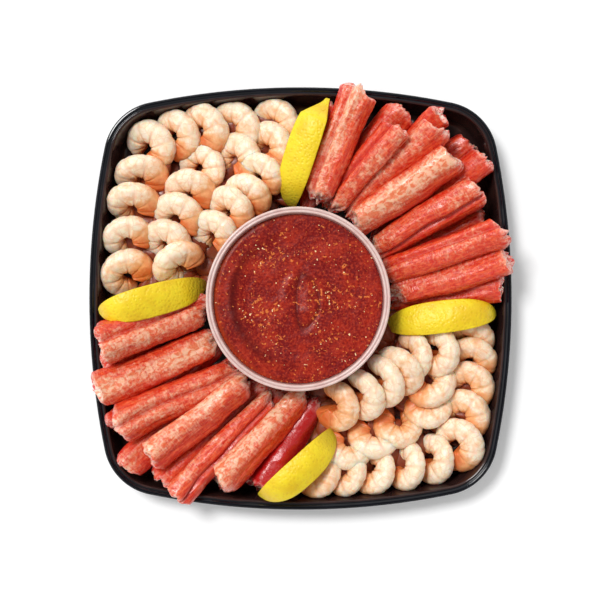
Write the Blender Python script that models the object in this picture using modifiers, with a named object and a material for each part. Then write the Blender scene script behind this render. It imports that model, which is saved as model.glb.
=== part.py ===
"""A square black party tray of seafood, laid out round a clear cup of cocktail sauce.

Two quarters hold peeled shrimps in rows, two hold sticks of crab meat in two layers, and a
lemon wedge lies at each border between them. The origin is on the tray's underside, in its
middle, with +Z up. Seen from above, +Y points to the top edge and +X to the right edge.
"""

import math
import random

import bmesh
import bpy
import numpy as np
from mathutils import Matrix, Vector

MM = 0.001
SEED = 41
GAP = 0.3 * MM
WELD = 0.003 * MM

# Tray: a rounded square with slightly bowed sides
TRAY_SIDE = 280 * MM
TRAY_SIDE_RADIUS = 500 * MM
TRAY_CORNER_RADIUS = 38 * MM
TRAY_FLOOR = 1.8 * MM
TRAY_SIDE_STEPS = 3
TRAY_CORNER_STEPS = 5
# Each pair is how far in from the outer edge, and how high, from the middle over the rim and back
TRAY_INSIDE = ((14.5, 1.8), (11.0, 2.8), (9.4, 5.4), (6.2, 21.5), (5.5, 24.0), (4.7, 24.8), (4.0, 24.8),
               (3.3, 24.0), (2.6, 24.9), (0.9, 25.0), (0.0, 24.1), (0.0, 20.5))
TRAY_OUTSIDE = ((1.5, 20.5), (1.7, 22.5), (4.3, 22.5), (4.8, 21.0), (8.0, 4.8), (10.2, 1.4), (13.5, 0.0))

# Cup: a turned clear tub with a double rim
CUP_CENTRE = Vector((-1.6 * MM, -0.3 * MM, TRAY_FLOOR + GAP))
CUP_HEIGHT = 44.9 * MM
CUP_NECK_HEIGHT = 39.9 * MM
CUP_RIM_RADIUS = 60.2 * MM
CUP_TOP_RADIUS = 56.4 * MM
CUP_BASE_RADIUS = 48.0 * MM
CUP_WALL = 1.0 * MM
CUP_FOOT = 2.2 * MM
CUP_STEPS = 36
# Each pair is how far in from the rim's edge, and how far below its top, from the inside over to the outside
CUP_RIM = ((3.9, 0.9), (3.3, 0.0), (2.5, 0.0), (2.0, 0.7), (1.5, 0.0), (0.6, 0.0), (0.0, 0.8), (0.0, 3.4),
           (0.9, 3.4), (1.5, 2.4), (3.0, 3.0))

# Sauce: its level above the cup's base, and the swirls a spoon left in it
SAUCE_LEVEL = 39.0 * MM
SAUCE_RINGS = 6
SAUCE_EDGE_SHARE = 0.6
SAUCE_RIDGE_HEIGHT = 1.6 * MM
# Shares of the cup's radius, and degrees round it, of the arc pushed up along the lower left
SAUCE_ARC_RADIUS = 0.74
SAUCE_ARC_WIDTH = 0.07
SAUCE_ARC_BEARING = 213
SAUCE_ARC_LENGTH = 45
SAUCE_HOLLOW_RADIUS = 0.60
SAUCE_HOLLOW_SHARE = 0.5
SAUCE_HOOK_CENTRE = (4 * MM, 3 * MM)
SAUCE_HOOK_RADIUS = 12 * MM
SAUCE_HOOK_WIDTH = 3.5 * MM
SAUCE_HOOK_SHARE = 0.55

# Crab sticks: (inner end, outer end, width, folded or not), in mm, in the order in which they were laid
STICK_HEIGHT_SHARE = 0.64
STICK_UNEVENNESS = 0.05
STICK_BOW = 1.6 * MM
STICK_RINGS = (0.0, 0.04, 0.16, 0.36, 0.62, 0.87, 0.97, 1.0)
STICK_SWELL = (0.46, 0.67, 0.82, 0.94, 1.0, 0.97, 0.86, 0.60)
STICK_SIDES = 10
STICK_SQUARENESS = 2.6
STICK_FOLD = 0.30
STICK_END_HEIGHT = 0.35
STICK_ROLLS = range(-40, 41, 10)
UPPER_RIGHT_STICKS = (
    (6, 63, 24, 131, 17, 0), (20, 64, 70, 126, 20, 0), (34, 61, 96, 125, 16, 0), (44, 53, 117, 106, 16, 0),
    (52, 40, 125, 95, 16, 0), (59, 24, 126, 54, 17, 0), (65, -2, 137, 9, 17, 0),
    (61, 3, 139, 28, 21, 0), (55, 16, 134, 44, 21, 1), (49, 31, 120, 73, 22, 1), (32, 57, 94, 114, 22, 0),
    (35, 48, 103, 95, 23, 0), (21, 60, 66, 114, 19, 1), (11, 66, 41, 139, 24, 1),
)
LOWER_LEFT_STICKS = (
    (-65, -3, -130, -46, 17, 0), (-58, -30, -126, -88, 17, 0), (-43, -45, -118, -114, 17, 0),
    (-27, -58, -95, -122, 17, 0), (-15, -62, -56, -127, 17, 0), (9, -69, -31, -128, 20, 0),
    (-62, -6, -134, -32, 26, 1), (-56, -27, -138, -62, 22, 0), (-40, -48, -122, -84, 23, 1),
    (-35, -55, -101, -107, 22, 0), (-19, -66, -84, -134, 18, 1), (1, -64, -53, -123, 22, 0),
)

# Lemon wedges: (inner end, outer end, lean in degrees), in mm, rind up
LEMON_RADIUS = 26 * MM
LEMON_ANGLE = math.radians(49)
LEMON_CORE_SHARE = 0.18
LEMON_NUB_SHARE = 0.14
LEMON_BLUNTNESS = 2.7
LEMON_RINGS = 10
LEMON_RIND_STEPS = 5
LEMON_WEDGES = {
    "lemon_wedge_top": (-5, 60, 19, 132, -16),
    "lemon_wedge_left": (-63, 11, -133, -8, -8),
    "lemon_wedge_right": (57, -19, 130, -10, -6),
    "lemon_wedge_bottom": (21, -86, -28, -130, -16),
}

# Shrimps: each row has its centres in mm in the order in which they were laid, how far its openings turn
# from the way the row runs, in degrees, and how much each leans on the one before and how much outwards
SHRIMP_SIZE = 34 * MM
SHRIMP_HEAD = 16.4 * MM
SHRIMP_TAIL = 11.6 * MM
SHRIMP_SWEEP = math.radians(296)
SHRIMP_FLATNESS = 0.78
SHRIMP_POINTS = 8
SHRIMP_END_SHARE = 0.62
SHRIMP_END_GROWTH = 3.2
SHRIMP_SIZES = (0.93, 1.04)
SHRIMP_OPENING_SPREAD = math.radians(14)
SHRIMP_ROW_LIFT = 4.5 * MM
SHRIMP_WALL_LIFT = 4.0 * MM
SHRIMP_NUDGE = 0.5 * MM
SHRIMP_MOST_NUDGES = 20
SHRIMP_STEEPEST = 0.8
CORE_HEIGHTS = (8 * MM, 17 * MM)
CORE_MARGIN = 1.06
SHRIMP_HEAPS = {
    "shrimps_upper_left": (
        (((-17, 120), (-46, 118), (-65, 114), (-82, 109), (-100, 102), (-106, 82), (-112, 64), (-115, 41),
          (-117, 17)), 45, 1.0, 0.30),
        (((-21, 100), (-42, 93), (-66, 87), (-73, 71), (-81, 55), (-89, 38), (-81, 23)), 45, 0.9, 0.10),
        (((-26, 82), (-35, 68), (-46, 58), (-57, 43)), 45, 0.9, 0.0),
    ),
    "shrimps_lower_right": (
        (((113, -26), (115, -40), (117, -61), (114, -81), (107, -98), (89, -107), (71, -112), (50, -117),
          (32, -120), (13, -122)), -35, 1.0, 0.30),
        (((31, -98), (49, -91), (65, -84), (85, -71), (87, -57)), 85, 0.3, 0.50),
        (((91, -35), (73, -38), (65, -48), (54, -55), (41, -64), (24, -71)), -40, 1.0, 0.0),
    ),
}

# Height grid on which each piece finds what it lies on
GRID_HALF = 160 * MM
GRID_STEP = 0.5 * MM
EMPTY = -1.0
RISES = range(-30, 31)
SMOOTH_BELOW = math.radians(40)


def clear_scene():
    for item in list(bpy.data.objects):
        bpy.data.objects.remove(item, do_unlink=True)


def new_collection(name):
    collection = bpy.data.collections.new(name)
    bpy.context.scene.collection.children.link(collection)
    return collection


def new_material(name, colour, roughness, transmission=0.0):
    material = bpy.data.materials.new(name)
    material.use_nodes = True
    shader = material.node_tree.nodes["Principled BSDF"]
    shader.inputs["Base Color"].default_value = (*colour, 1.0)
    shader.inputs["Roughness"].default_value = roughness
    shader.inputs["Metallic"].default_value = 0.0
    shader.inputs["Transmission Weight"].default_value = transmission
    material.diffuse_color = (*colour, 1.0)
    return material


def add_mesh(name, points, faces, collection, material):
    mesh = bpy.data.meshes.new(name)
    mesh.from_pydata([tuple(point) for point in points], [], faces)
    mesh.validate()
    mesh.shade_smooth()
    mesh.set_sharp_from_angle(angle=SMOOTH_BELOW)
    mesh.materials.append(material)
    item = bpy.data.objects.new(name, mesh)
    collection.objects.link(item)
    return item


def triangles(faces):
    """The faces, each cut into a fan of triangles."""
    return [(face[0], face[i], face[i + 1]) for face in faces for i in range(1, len(face) - 1)]


def tube_faces(rings, sides):
    """Quads between rings of points that turn anticlockwise seen from the last ring, with both ends capped."""
    faces = [tuple(reversed(range(sides)))]
    for ring in range(rings - 1):
        for side in range(sides):
            here = ring * sides + side
            beside = ring * sides + (side + 1) % sides
            faces.append((here, beside, beside + sides, here + sides))
    faces.append(tuple(range((rings - 1) * sides, rings * sides)))
    return faces


def tray_outline(inset):
    """Points round the tray, this far inside its outer edge: four shallow side arcs and four corner arcs."""
    reach = TRAY_SIDE_RADIUS - TRAY_SIDE / 2
    apart = TRAY_SIDE_RADIUS - TRAY_CORNER_RADIUS
    corner = (math.sqrt(2 * apart**2 - reach**2) - reach) / 2
    meeting = math.asin(corner / apart)
    quarter = []
    for step in range(TRAY_SIDE_STEPS * 2):
        angle = meeting * (step / TRAY_SIDE_STEPS - 1)
        radius = TRAY_SIDE_RADIUS - inset
        quarter.append(Vector((radius * math.cos(angle) - reach, radius * math.sin(angle))))
    for step in range(TRAY_CORNER_STEPS):
        angle = meeting + (math.pi / 2 - 2 * meeting) * step / TRAY_CORNER_STEPS
        radius = TRAY_CORNER_RADIUS - inset
        quarter.append(Vector((corner + radius * math.cos(angle), corner + radius * math.sin(angle))))
    return [Matrix.Rotation(turn * math.pi / 2, 2) @ point for turn in range(4) for point in quarter]


def make_tray(collection):
    rings = [(inset, height) for inset, height in TRAY_INSIDE + TRAY_OUTSIDE]
    points = []
    for inset, height in rings:
        points += [(x, y, height * MM) for x, y in tray_outline(inset * MM)]
    sides = len(points) // len(rings)
    faces = [tuple(reversed(face)) for face in tube_faces(len(rings), sides)]
    colour = (0.012, 0.011, 0.012)
    return add_mesh("tray", points, faces, collection, new_material("tray plastic", colour, 0.25))


def cup_wall_radius(height):
    """The outer radius of the cup's body at this height above its base."""
    return CUP_BASE_RADIUS + (CUP_TOP_RADIUS - CUP_BASE_RADIUS) * height / CUP_NECK_HEIGHT


def turn_profile(name, profile, steps, collection, material):
    """A turned solid from (radius, height) pairs that go up the inside and down the outside."""
    mesh = bpy.data.meshes.new(name)
    points = [(radius, 0, height) for radius, height in profile]
    mesh.from_pydata(points, [(i, i + 1) for i in range(len(points) - 1)], [])
    mesh.materials.append(material)
    item = bpy.data.objects.new(name, mesh)
    collection.objects.link(item)
    screw = item.modifiers.new("turn", "SCREW")
    screw.steps = steps
    screw.render_steps = steps
    screw.use_merge_vertices = True
    screw.merge_threshold = 0.00001
    screw.use_smooth_shade = True
    return item


def make_cup(collection):
    profile = [
        (0, CUP_WALL),
        (CUP_BASE_RADIUS - CUP_WALL - CUP_FOOT, CUP_WALL),
        (cup_wall_radius(CUP_FOOT) - CUP_WALL, CUP_FOOT),
        (cup_wall_radius(CUP_NECK_HEIGHT) - CUP_WALL, CUP_NECK_HEIGHT),
    ]
    profile += [(CUP_RIM_RADIUS - inset * MM, CUP_HEIGHT - below * MM) for inset, below in CUP_RIM]
    profile += [
        (CUP_TOP_RADIUS, CUP_NECK_HEIGHT),
        (cup_wall_radius(CUP_FOOT), CUP_FOOT),
        (CUP_BASE_RADIUS - CUP_FOOT, 0),
        (0, 0),
    ]
    material = new_material("clear plastic", (0.95, 0.93, 0.92), 0.05, transmission=1.0)
    cup = turn_profile("sauce_cup", profile, CUP_STEPS, collection, material)
    cup.location = CUP_CENTRE
    return cup


def bump(value, middle, width):
    return math.exp(-(((value - middle) / width) ** 2))


def sauce_relief(x, y):
    """How far the sauce stands above its level: an arc pushed up along the lower left, a hook in the middle."""
    radius = math.hypot(x, y) / CUP_TOP_RADIUS
    bearing = math.degrees(math.atan2(y, x)) % 360
    along = bump(bearing, SAUCE_ARC_BEARING, SAUCE_ARC_LENGTH)
    arc = bump(radius, SAUCE_ARC_RADIUS, SAUCE_ARC_WIDTH) * along
    hollow = bump(radius, SAUCE_HOLLOW_RADIUS, SAUCE_ARC_WIDTH) * along
    from_hook = math.hypot(x - SAUCE_HOOK_CENTRE[0], y - SAUCE_HOOK_CENTRE[1])
    hook = bump(from_hook, SAUCE_HOOK_RADIUS, SAUCE_HOOK_WIDTH)
    return SAUCE_RIDGE_HEIGHT * (arc - SAUCE_HOLLOW_SHARE * hollow + SAUCE_HOOK_SHARE * hook)


def make_sauce(collection):
    bottom = CUP_WALL + GAP
    foot = CUP_FOOT + GAP
    rings = [
        (CUP_BASE_RADIUS - CUP_WALL - CUP_FOOT - GAP, bottom, 0),
        (cup_wall_radius(foot) - CUP_WALL - GAP, foot, 0),
    ]
    top = cup_wall_radius(SAUCE_LEVEL) - CUP_WALL - GAP
    for ring in range(SAUCE_RINGS):
        rings.append((top * (1 - ring / SAUCE_RINGS), SAUCE_LEVEL, min(1.0, ring * SAUCE_EDGE_SHARE)))
    points = []
    for radius, height, share in rings:
        for spoke in range(CUP_STEPS):
            angle = 2 * math.pi * spoke / CUP_STEPS
            x = radius * math.cos(angle)
            y = radius * math.sin(angle)
            points.append((x, y, height + share * sauce_relief(x, y)))
    faces = tube_faces(len(rings), CUP_STEPS)
    material = new_material("cocktail sauce", (0.27, 0.02, 0.018), 0.25)
    sauce = add_mesh("cocktail_sauce", points, faces, collection, material)
    sauce.location = CUP_CENTRE
    return sauce


def scan(points, faces):
    """The piece seen from above: where its window starts on the grid, and its lowest and highest there."""
    first = np.floor((points[:, :2].min(axis=0) + GRID_HALF) / GRID_STEP).astype(int) - 1
    last = np.ceil((points[:, :2].max(axis=0) + GRID_HALF) / GRID_STEP).astype(int) + 2
    low = np.full(tuple(last - first), np.inf)
    high = np.full(tuple(last - first), EMPTY)
    start = first * GRID_STEP - GRID_HALF
    for face in faces:
        a, b, c = points[list(face)]
        twice = (b[0] - a[0]) * (c[1] - a[1]) - (c[0] - a[0]) * (b[1] - a[1])
        if abs(twice) < 1e-12:
            continue
        corners = np.array((a, b, c))[:, :2]
        i0, j0 = ((corners.min(axis=0) - start) / GRID_STEP).astype(int)
        i1, j1 = ((corners.max(axis=0) - start) / GRID_STEP).astype(int) + 2
        x = (start[0] + np.arange(i0, i1) * GRID_STEP)[:, None] - a[0]
        y = (start[1] + np.arange(j0, j1) * GRID_STEP)[None, :] - a[1]
        u = (x * (c[1] - a[1]) - (c[0] - a[0]) * y) / twice
        v = ((b[0] - a[0]) * y - x * (b[1] - a[1])) / twice
        inside = (u > -0.001) & (v > -0.001) & (u + v < 1.001)
        height = a[2] + u * (b[2] - a[2]) + v * (c[2] - a[2])
        low[i0:i1, j0:j1] = np.where(inside, np.minimum(low[i0:i1, j0:j1], height), low[i0:i1, j0:j1])
        high[i0:i1, j0:j1] = np.where(inside, np.maximum(high[i0:i1, j0:j1], height), high[i0:i1, j0:j1])
    return first, low, high


def spread(values):
    """Each cell takes the highest of itself and the eight round it."""
    rows = np.maximum(np.maximum(values, np.roll(values, 1, axis=0)), np.roll(values, -1, axis=0))
    return np.maximum(np.maximum(rows, np.roll(rows, 1, axis=1)), np.roll(rows, -1, axis=1))


class Ground:
    """The height of what already lies in the tray, over a square grid."""

    def __init__(self):
        count = int(2 * GRID_HALF / GRID_STEP) + 1
        self.top = np.full((count, count), EMPTY)

    def copy(self):
        other = Ground()
        other.top = self.top.copy()
        return other

    def add(self, points, faces):
        (i, j), _, high = scan(points, faces)
        rows, columns = high.shape
        window = self.top[i : i + rows, j : j + columns]
        np.maximum(window, high, out=window)

    def clearance(self, points, faces):
        """(x, y, needed lift) of each cell of the grid under the piece."""
        (i, j), low, _ = scan(points, faces)
        rows, columns = low.shape
        window = self.top[i : i + rows, j : j + columns]
        window = spread(window)
        under, beside = np.nonzero(np.isfinite(low))
        x = (i + under) * GRID_STEP - GRID_HALF
        y = (j + beside) * GRID_STEP - GRID_HALF
        return x, y, window[under, beside] + GAP - low[under, beside]


def lay_along(forms, faces, start, end, ground):
    """Of the forms that one long piece may take, the points of that which comes to rest lowest."""
    line = np.array(end) - np.array(start)
    best = None
    for points in forms:
        x, y, lift = ground.clearance(points, faces)
        share = ((x - start[0]) * line[0] + (y - start[1]) * line[1]) / (line @ line) - 0.5
        for rise in np.array(RISES) * MM:
            middle = (lift - rise * share).max()
            if best is None or middle < best[0]:
                best = (middle, rise, points)
    middle, rise, points = best
    laid = points.copy()
    laid[:, 2] += middle + rise * ((points[:, :2] - start) @ line / (line @ line) - 0.5)
    ground.add(laid, faces)
    return laid


def stick_rings(width, folded, draw):
    """The rings of a crab stick, each a list of (sideways, up): a squarish oval, folded along its top or not."""
    rings = []
    for swell in STICK_SWELL:
        half_width = width / 2 * swell * (1 + draw.uniform(-STICK_UNEVENNESS, STICK_UNEVENNESS))
        half_height = width / 2 * STICK_HEIGHT_SHARE * (STICK_END_HEIGHT + (1 - STICK_END_HEIGHT) * swell)
        half_height *= 1 + draw.uniform(-STICK_UNEVENNESS, STICK_UNEVENNESS)
        ring = []
        for side in range(STICK_SIDES):
            angle = math.pi / 2 + 2 * math.pi * side / STICK_SIDES
            reach = abs(math.cos(angle)) ** STICK_SQUARENESS + abs(math.sin(angle)) ** STICK_SQUARENESS
            reach = reach ** (-1 / STICK_SQUARENESS)
            if side == 0 and folded:
                reach *= 1 - STICK_FOLD * swell
            ring.append((math.cos(angle) * reach * half_width, math.sin(angle) * reach * half_height))
        rings.append(ring)
    return rings


def stick_points(rings, start, end, bow, roll):
    """The rings set level along the line from start to end, rolled about it by this angle."""
    start = Vector(start)
    line = Vector(end) - start
    across = Vector((-line.y, line.x)).normalized()
    turn = Matrix.Rotation(roll, 2)
    points = []
    for share, ring in zip(STICK_RINGS, rings):
        middle = start + line * share + across * bow * math.sin(math.pi * share)
        for place in ring:
            sideways, up = turn @ Vector(place)
            points.append((*(middle + across * sideways), up))
    return np.array(points)


def make_sticks(prefix, table, ground, collection, draw):
    faces = tube_faces(len(STICK_RINGS), STICK_SIDES)
    for number, (x0, y0, x1, y1, width, folded) in enumerate(table, start=1):
        start = (x0 * MM, y0 * MM)
        end = (x1 * MM, y1 * MM)
        rings = stick_rings(width * MM, folded, draw)
        bow = draw.uniform(-STICK_BOW, STICK_BOW)
        forms = [stick_points(rings, start, end, bow, math.radians(roll)) for roll in STICK_ROLLS]
        laid = lay_along(forms, triangles(faces), start, end, ground)
        name = f"{prefix}_{number:02d}"
        add_mesh(name, laid, faces, collection, new_material(name, (0.68, 0.13, 0.07), 0.4))


def lemon_points(length, lean):
    """A wedge along X with its rind up: each ring is the cut edge, then an arc of rind."""
    points = []
    for ring in range(LEMON_RINGS):
        share = ring / (LEMON_RINGS - 1)
        along = 2 * share - 1
        radius = LEMON_RADIUS * max(LEMON_NUB_SHARE, math.sqrt(1 - abs(along) ** LEMON_BLUNTNESS))
        x = along * length / 2
        for step in range(LEMON_RIND_STEPS + 1):
            angle = math.pi / 2 + lean + LEMON_ANGLE * (step / LEMON_RIND_STEPS - 0.5)
            points.append((x, radius * math.cos(angle), radius * math.sin(angle)))
        inner = LEMON_CORE_SHARE * radius
        points.append((x, inner * math.cos(math.pi / 2 + lean), inner * math.sin(math.pi / 2 + lean)))
    return points


def make_lemon(name, ground, collection):
    x0, y0, x1, y1, lean = LEMON_WEDGES[name]
    start = Vector((x0 * MM, y0 * MM))
    end = Vector((x1 * MM, y1 * MM))
    line = end - start
    faces = tube_faces(LEMON_RINGS, LEMON_RIND_STEPS + 2)
    turn = Matrix.Rotation(math.atan2(line.y, line.x), 3, "Z")
    middle = (start + end) / 2
    points = [turn @ Vector(point) for point in lemon_points(line.length, math.radians(lean))]
    points = np.array([(p.x + middle.x, p.y + middle.y, p.z) for p in points])
    laid = lay_along([points], triangles(faces), tuple(start), tuple(end), ground)
    add_mesh(name, laid, faces, collection, new_material(name, (0.93, 0.75, 0.03), 0.35))
    return laid, triangles(faces)


def shrimp_mesh(size):
    """A peeled shrimp curled in the XY plane, opening to +X, thick at the head end and thin at the tail."""
    curve = bpy.data.curves.new("shrimp", "CURVE")
    curve.dimensions = "3D"
    curve.bevel_depth = 1.0
    curve.bevel_resolution = 1
    curve.use_fill_caps = True
    spline = curve.splines.new("POLY")
    spline.points.add(SHRIMP_POINTS - 1)
    for index, point in enumerate(spline.points):
        share = index / (SHRIMP_POINTS - 1)
        thickness = SHRIMP_HEAD + (SHRIMP_TAIL - SHRIMP_HEAD) * share
        end = min(1.0, SHRIMP_END_SHARE + SHRIMP_END_GROWTH * min(share, 1 - share))
        angle = math.pi + SHRIMP_SWEEP * (share - 0.5)
        radius = SHRIMP_SIZE / 2 - thickness / 2
        point.co = (radius * math.cos(angle), radius * math.sin(angle), 0, 1)
        point.radius = thickness / 2 * end
    item = bpy.data.objects.new("shrimp", curve)
    bpy.context.scene.collection.objects.link(item)
    graph = bpy.context.evaluated_depsgraph_get()
    mesh = bpy.data.meshes.new_from_object(item.evaluated_get(graph))
    bpy.data.objects.remove(item)
    mesh.transform(Matrix.Diagonal((size, size, size * SHRIMP_FLATNESS, 1)))
    work = bmesh.new()
    work.from_mesh(mesh)
    bmesh.ops.remove_doubles(work, verts=work.verts, dist=0.02 * MM)
    bmesh.ops.recalc_face_normals(work, faces=work.faces)
    work.to_mesh(mesh)
    work.free()
    return mesh


def row_poses(row, swing, lean, outward_rise):
    """(centre, raised side, tilt, bearing of the opening) for each shrimp of a row, first laid first."""
    for index, (x, y) in enumerate(row):
        before = Vector(row[max(0, index - 1)])
        after = Vector(row[max(1, index)])
        ahead = after - before
        step = min(SHRIMP_STEEPEST, SHRIMP_HEAD * SHRIMP_FLATNESS / (ahead.length * MM))
        raised = Vector((x, y)).normalized() * outward_rise - ahead.normalized() * step * lean
        opening = math.atan2(ahead.y, ahead.x) + math.radians(swing)
        yield Vector((x * MM, y * MM, 0)), raised.normalized(), math.asin(raised.length), opening


def lay_shrimp(pose, level, tray_ground, ground, draw):
    """The mesh of one shrimp, tilted as its row is, drawn in off the tray's wall and let down to its level."""
    centre, raised, tilt, opening = pose
    mesh = shrimp_mesh(draw.uniform(*SHRIMP_SIZES))
    opening += draw.uniform(-SHRIMP_OPENING_SPREAD, SHRIMP_OPENING_SPREAD)
    turn = Matrix.Rotation(-tilt, 4, Vector((-raised.y, raised.x, 0))) @ Matrix.Rotation(opening, 4, "Z")
    mesh.transform(Matrix.Translation(centre) @ turn)
    points, faces = mesh_arrays(mesh)
    level += TRAY_FLOOR + GAP - points[:, 2].min()
    inwards = -centre.normalized() * SHRIMP_NUDGE
    moved = 0
    highest = level + SHRIMP_WALL_LIFT
    while tray_ground.clearance(points, faces)[2].max() > highest and moved < SHRIMP_MOST_NUDGES:
        mesh.transform(Matrix.Translation(inwards))
        points += np.array(inwards)
        moved += 1
    lift = max(level, ground.clearance(points, faces)[2].max())
    mesh.transform(Matrix.Translation((0, 0, lift)))
    return mesh


def mesh_arrays(mesh):
    """The mesh as an array of points and a list of triangles."""
    mesh.calc_loop_triangles()
    faces = [tuple(face.vertices) for face in mesh.loop_triangles]
    return np.array([tuple(vertex.co) for vertex in mesh.vertices]), faces


class Heap:
    """Shrimps laid row by row over a low core and on each other, to be fused to one solid."""

    def __init__(self, name, tray_ground, collection):
        self.rows = SHRIMP_HEAPS[name]
        self.tray_ground = tray_ground
        self.pieces = new_collection(f"{name}_pieces")
        self.material = new_material(name, (0.92, 0.72, 0.55), 0.3)
        self.draw = random.Random(SEED + len(name))
        self.core = self.make_core(name, collection)
        self.laid = [mesh_arrays(self.core.data)]

    def make_core(self, name, collection):
        """A low block under the rows, from the outer one round to the inner one, higher under that."""
        rim = [(x, y, CORE_HEIGHTS[0]) for x, y in self.rows[0][0]]
        rim += [(x, y, CORE_HEIGHTS[1]) for x, y in reversed(self.rows[-1][0])]
        middle = sum((Vector(place) for *place, _ in rim), Vector((0, 0))) / len(rim)
        outline = [(middle + (Vector(place) - middle) * CORE_MARGIN) * MM for *place, _ in rim]
        points = [(*place, TRAY_FLOOR + GAP) for place in outline]
        points += [(*place, height) for place, (*_, height) in zip(outline, rim)]
        core = add_mesh(name, points, tube_faces(2, len(rim)), collection, self.material)
        repair(core.data)
        return core

    def lay_rows(self, numbers, ground):
        """Lays these rows on what the ground holds of other pieces."""
        for number in numbers:
            for pose in row_poses(*self.rows[number]):
                level = number * SHRIMP_ROW_LIFT
                mesh = lay_shrimp(pose, level, self.tray_ground, ground, self.draw)
                mesh.materials.clear()
                mesh.materials.append(self.material)
                self.pieces.objects.link(bpy.data.objects.new("shrimp", mesh))
                self.laid.append(mesh_arrays(mesh))

    def add_to(self, ground):
        for points, faces in self.laid:
            ground.add(points, faces)


def repair(mesh):
    """Cuts faces that are not flat into triangles and turns all of them outward."""
    work = bmesh.new()
    work.from_mesh(mesh)
    bmesh.ops.triangulate(work, faces=work.faces)
    bmesh.ops.recalc_face_normals(work, faces=work.faces)
    work.to_mesh(mesh)
    work.free()


def fuse(core, pieces):
    """One union of the core with the collection's pieces, applied, with only its outer skin kept."""
    union = core.modifiers.new("fused", "BOOLEAN")
    union.operation = "UNION"
    union.operand_type = "COLLECTION"
    union.collection = pieces
    union.solver = "EXACT"
    graph = bpy.context.evaluated_depsgraph_get()
    fused = bpy.data.meshes.new_from_object(core.evaluated_get(graph))
    core.modifiers.clear()
    core.data = fused
    for item in list(pieces.objects):
        bpy.data.objects.remove(item, do_unlink=True)
    bpy.data.collections.remove(pieces)
    weld(fused)
    keep_outer_skin(fused)
    fused.shade_smooth()
    fused.set_sharp_from_angle(angle=SMOOTH_BELOW)


def weld(mesh):
    """Joins points that the union left closer together than a hair, and drops the slivers between them."""
    work = bmesh.new()
    work.from_mesh(mesh)
    bmesh.ops.remove_doubles(work, verts=work.verts, dist=WELD)
    bmesh.ops.dissolve_degenerate(work, edges=work.edges, dist=WELD)
    bmesh.ops.triangulate(work, faces=work.faces)
    work.to_mesh(mesh)
    work.free()


def keep_outer_skin(mesh):
    """Drops sealed hollows and loose scraps: all but the connected surface that holds the most."""
    work = bmesh.new()
    work.from_mesh(mesh)
    left = set(work.verts)
    surfaces = []
    while left:
        found = {left.pop()}
        edge = list(found)
        while edge:
            for link in edge.pop().link_edges:
                for vertex in link.verts:
                    if vertex in left:
                        left.discard(vertex)
                        found.add(vertex)
                        edge.append(vertex)
        surfaces.append(found)
    surfaces.sort(key=len)
    for surface in surfaces[:-1]:
        bmesh.ops.delete(work, geom=list(surface), context="VERTS")
    work.to_mesh(mesh)
    work.free()


def main():
    clear_scene()
    collection = new_collection("shrimp cocktail platter")
    tray = make_tray(collection)
    make_cup(collection)
    make_sauce(collection)
    tray_ground = Ground()
    tray_ground.add(*mesh_arrays(tray.data))
    ground = tray_ground.copy()
    draw = random.Random(SEED)
    make_sticks("crab_stick_right", UPPER_RIGHT_STICKS, ground, collection, draw)
    make_sticks("crab_stick_left", LOWER_LEFT_STICKS, ground, collection, draw)
    upper = Heap("shrimps_upper_left", tray_ground, collection)
    upper.lay_rows((0, 1, 2), ground)
    upper.add_to(ground)
    lower = Heap("shrimps_lower_right", tray_ground, collection)
    lower.lay_rows((0, 1), ground)
    under_lower = ground.copy()
    lower.add_to(ground)
    under_lower.add(*make_lemon("lemon_wedge_bottom", ground, collection))
    lower.lay_rows((2,), under_lower)
    lower.add_to(ground)
    for name in ("lemon_wedge_top", "lemon_wedge_left", "lemon_wedge_right"):
        make_lemon(name, ground, collection)
    fuse(upper.core, upper.pieces)
    fuse(lower.core, lower.pieces)


main()
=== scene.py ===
"""Looks of a square black party tray of shrimps, crab sticks and lemon wedges round a cup of cocktail sauce.

Every size is in metres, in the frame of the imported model: the origin is under the tray's middle, +Z is up,
and +X and +Y point to the right and the top edge of the picture.
"""

import itertools
import math
import random

import bpy
import numpy as np
from mathutils import Matrix, Vector

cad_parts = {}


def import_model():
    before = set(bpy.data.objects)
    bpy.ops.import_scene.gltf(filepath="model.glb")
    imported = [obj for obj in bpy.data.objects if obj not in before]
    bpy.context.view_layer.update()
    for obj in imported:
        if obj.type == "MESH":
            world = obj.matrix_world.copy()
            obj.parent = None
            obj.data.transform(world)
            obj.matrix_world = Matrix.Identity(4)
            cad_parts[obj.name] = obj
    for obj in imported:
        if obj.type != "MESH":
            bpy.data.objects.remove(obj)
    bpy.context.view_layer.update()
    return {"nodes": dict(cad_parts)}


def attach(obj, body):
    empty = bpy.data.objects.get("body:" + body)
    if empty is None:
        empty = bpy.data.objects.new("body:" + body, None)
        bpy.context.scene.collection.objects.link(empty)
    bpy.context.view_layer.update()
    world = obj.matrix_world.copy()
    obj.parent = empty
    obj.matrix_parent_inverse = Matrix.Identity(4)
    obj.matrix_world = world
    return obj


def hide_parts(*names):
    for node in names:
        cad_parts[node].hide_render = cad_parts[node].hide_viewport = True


MM = 0.001
SEED = 41
GAP = 0.3 * MM

# Camera: straight above, framed as the picture is
RIM_HEIGHT = 25 * MM
CAMERA_HEIGHT = 1.3
PICTURE_PIXELS = 600
PIXEL = 0.662 * MM
TRAY_MIDDLE_PIXEL = (300.5, 298.5)
SENSOR_WIDTH = 36.0

# Light: a soft key from the upper left, and a bright room
KEY_DIRECTION = Vector((-0.38, 0.36, 1.0))
KEY_STRENGTH = 2.0
KEY_SOFTNESS = math.radians(16)
ROOM_STRENGTH = 0.72
ROOM_SLOPE = 0.35
# The height on a unit sphere from which the room darkens to its darkest share, straight above
ROOM_DARK_FROM = (0.84, 0.96)
ROOM_DARKEST = 0.12
FLOOR_SIZE = 6.0
FLOOR_GLOW = 0.14
FLOOR_SHADES = ((0.90, 0.90, 0.90), (0.92, 0.92, 0.92))

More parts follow.
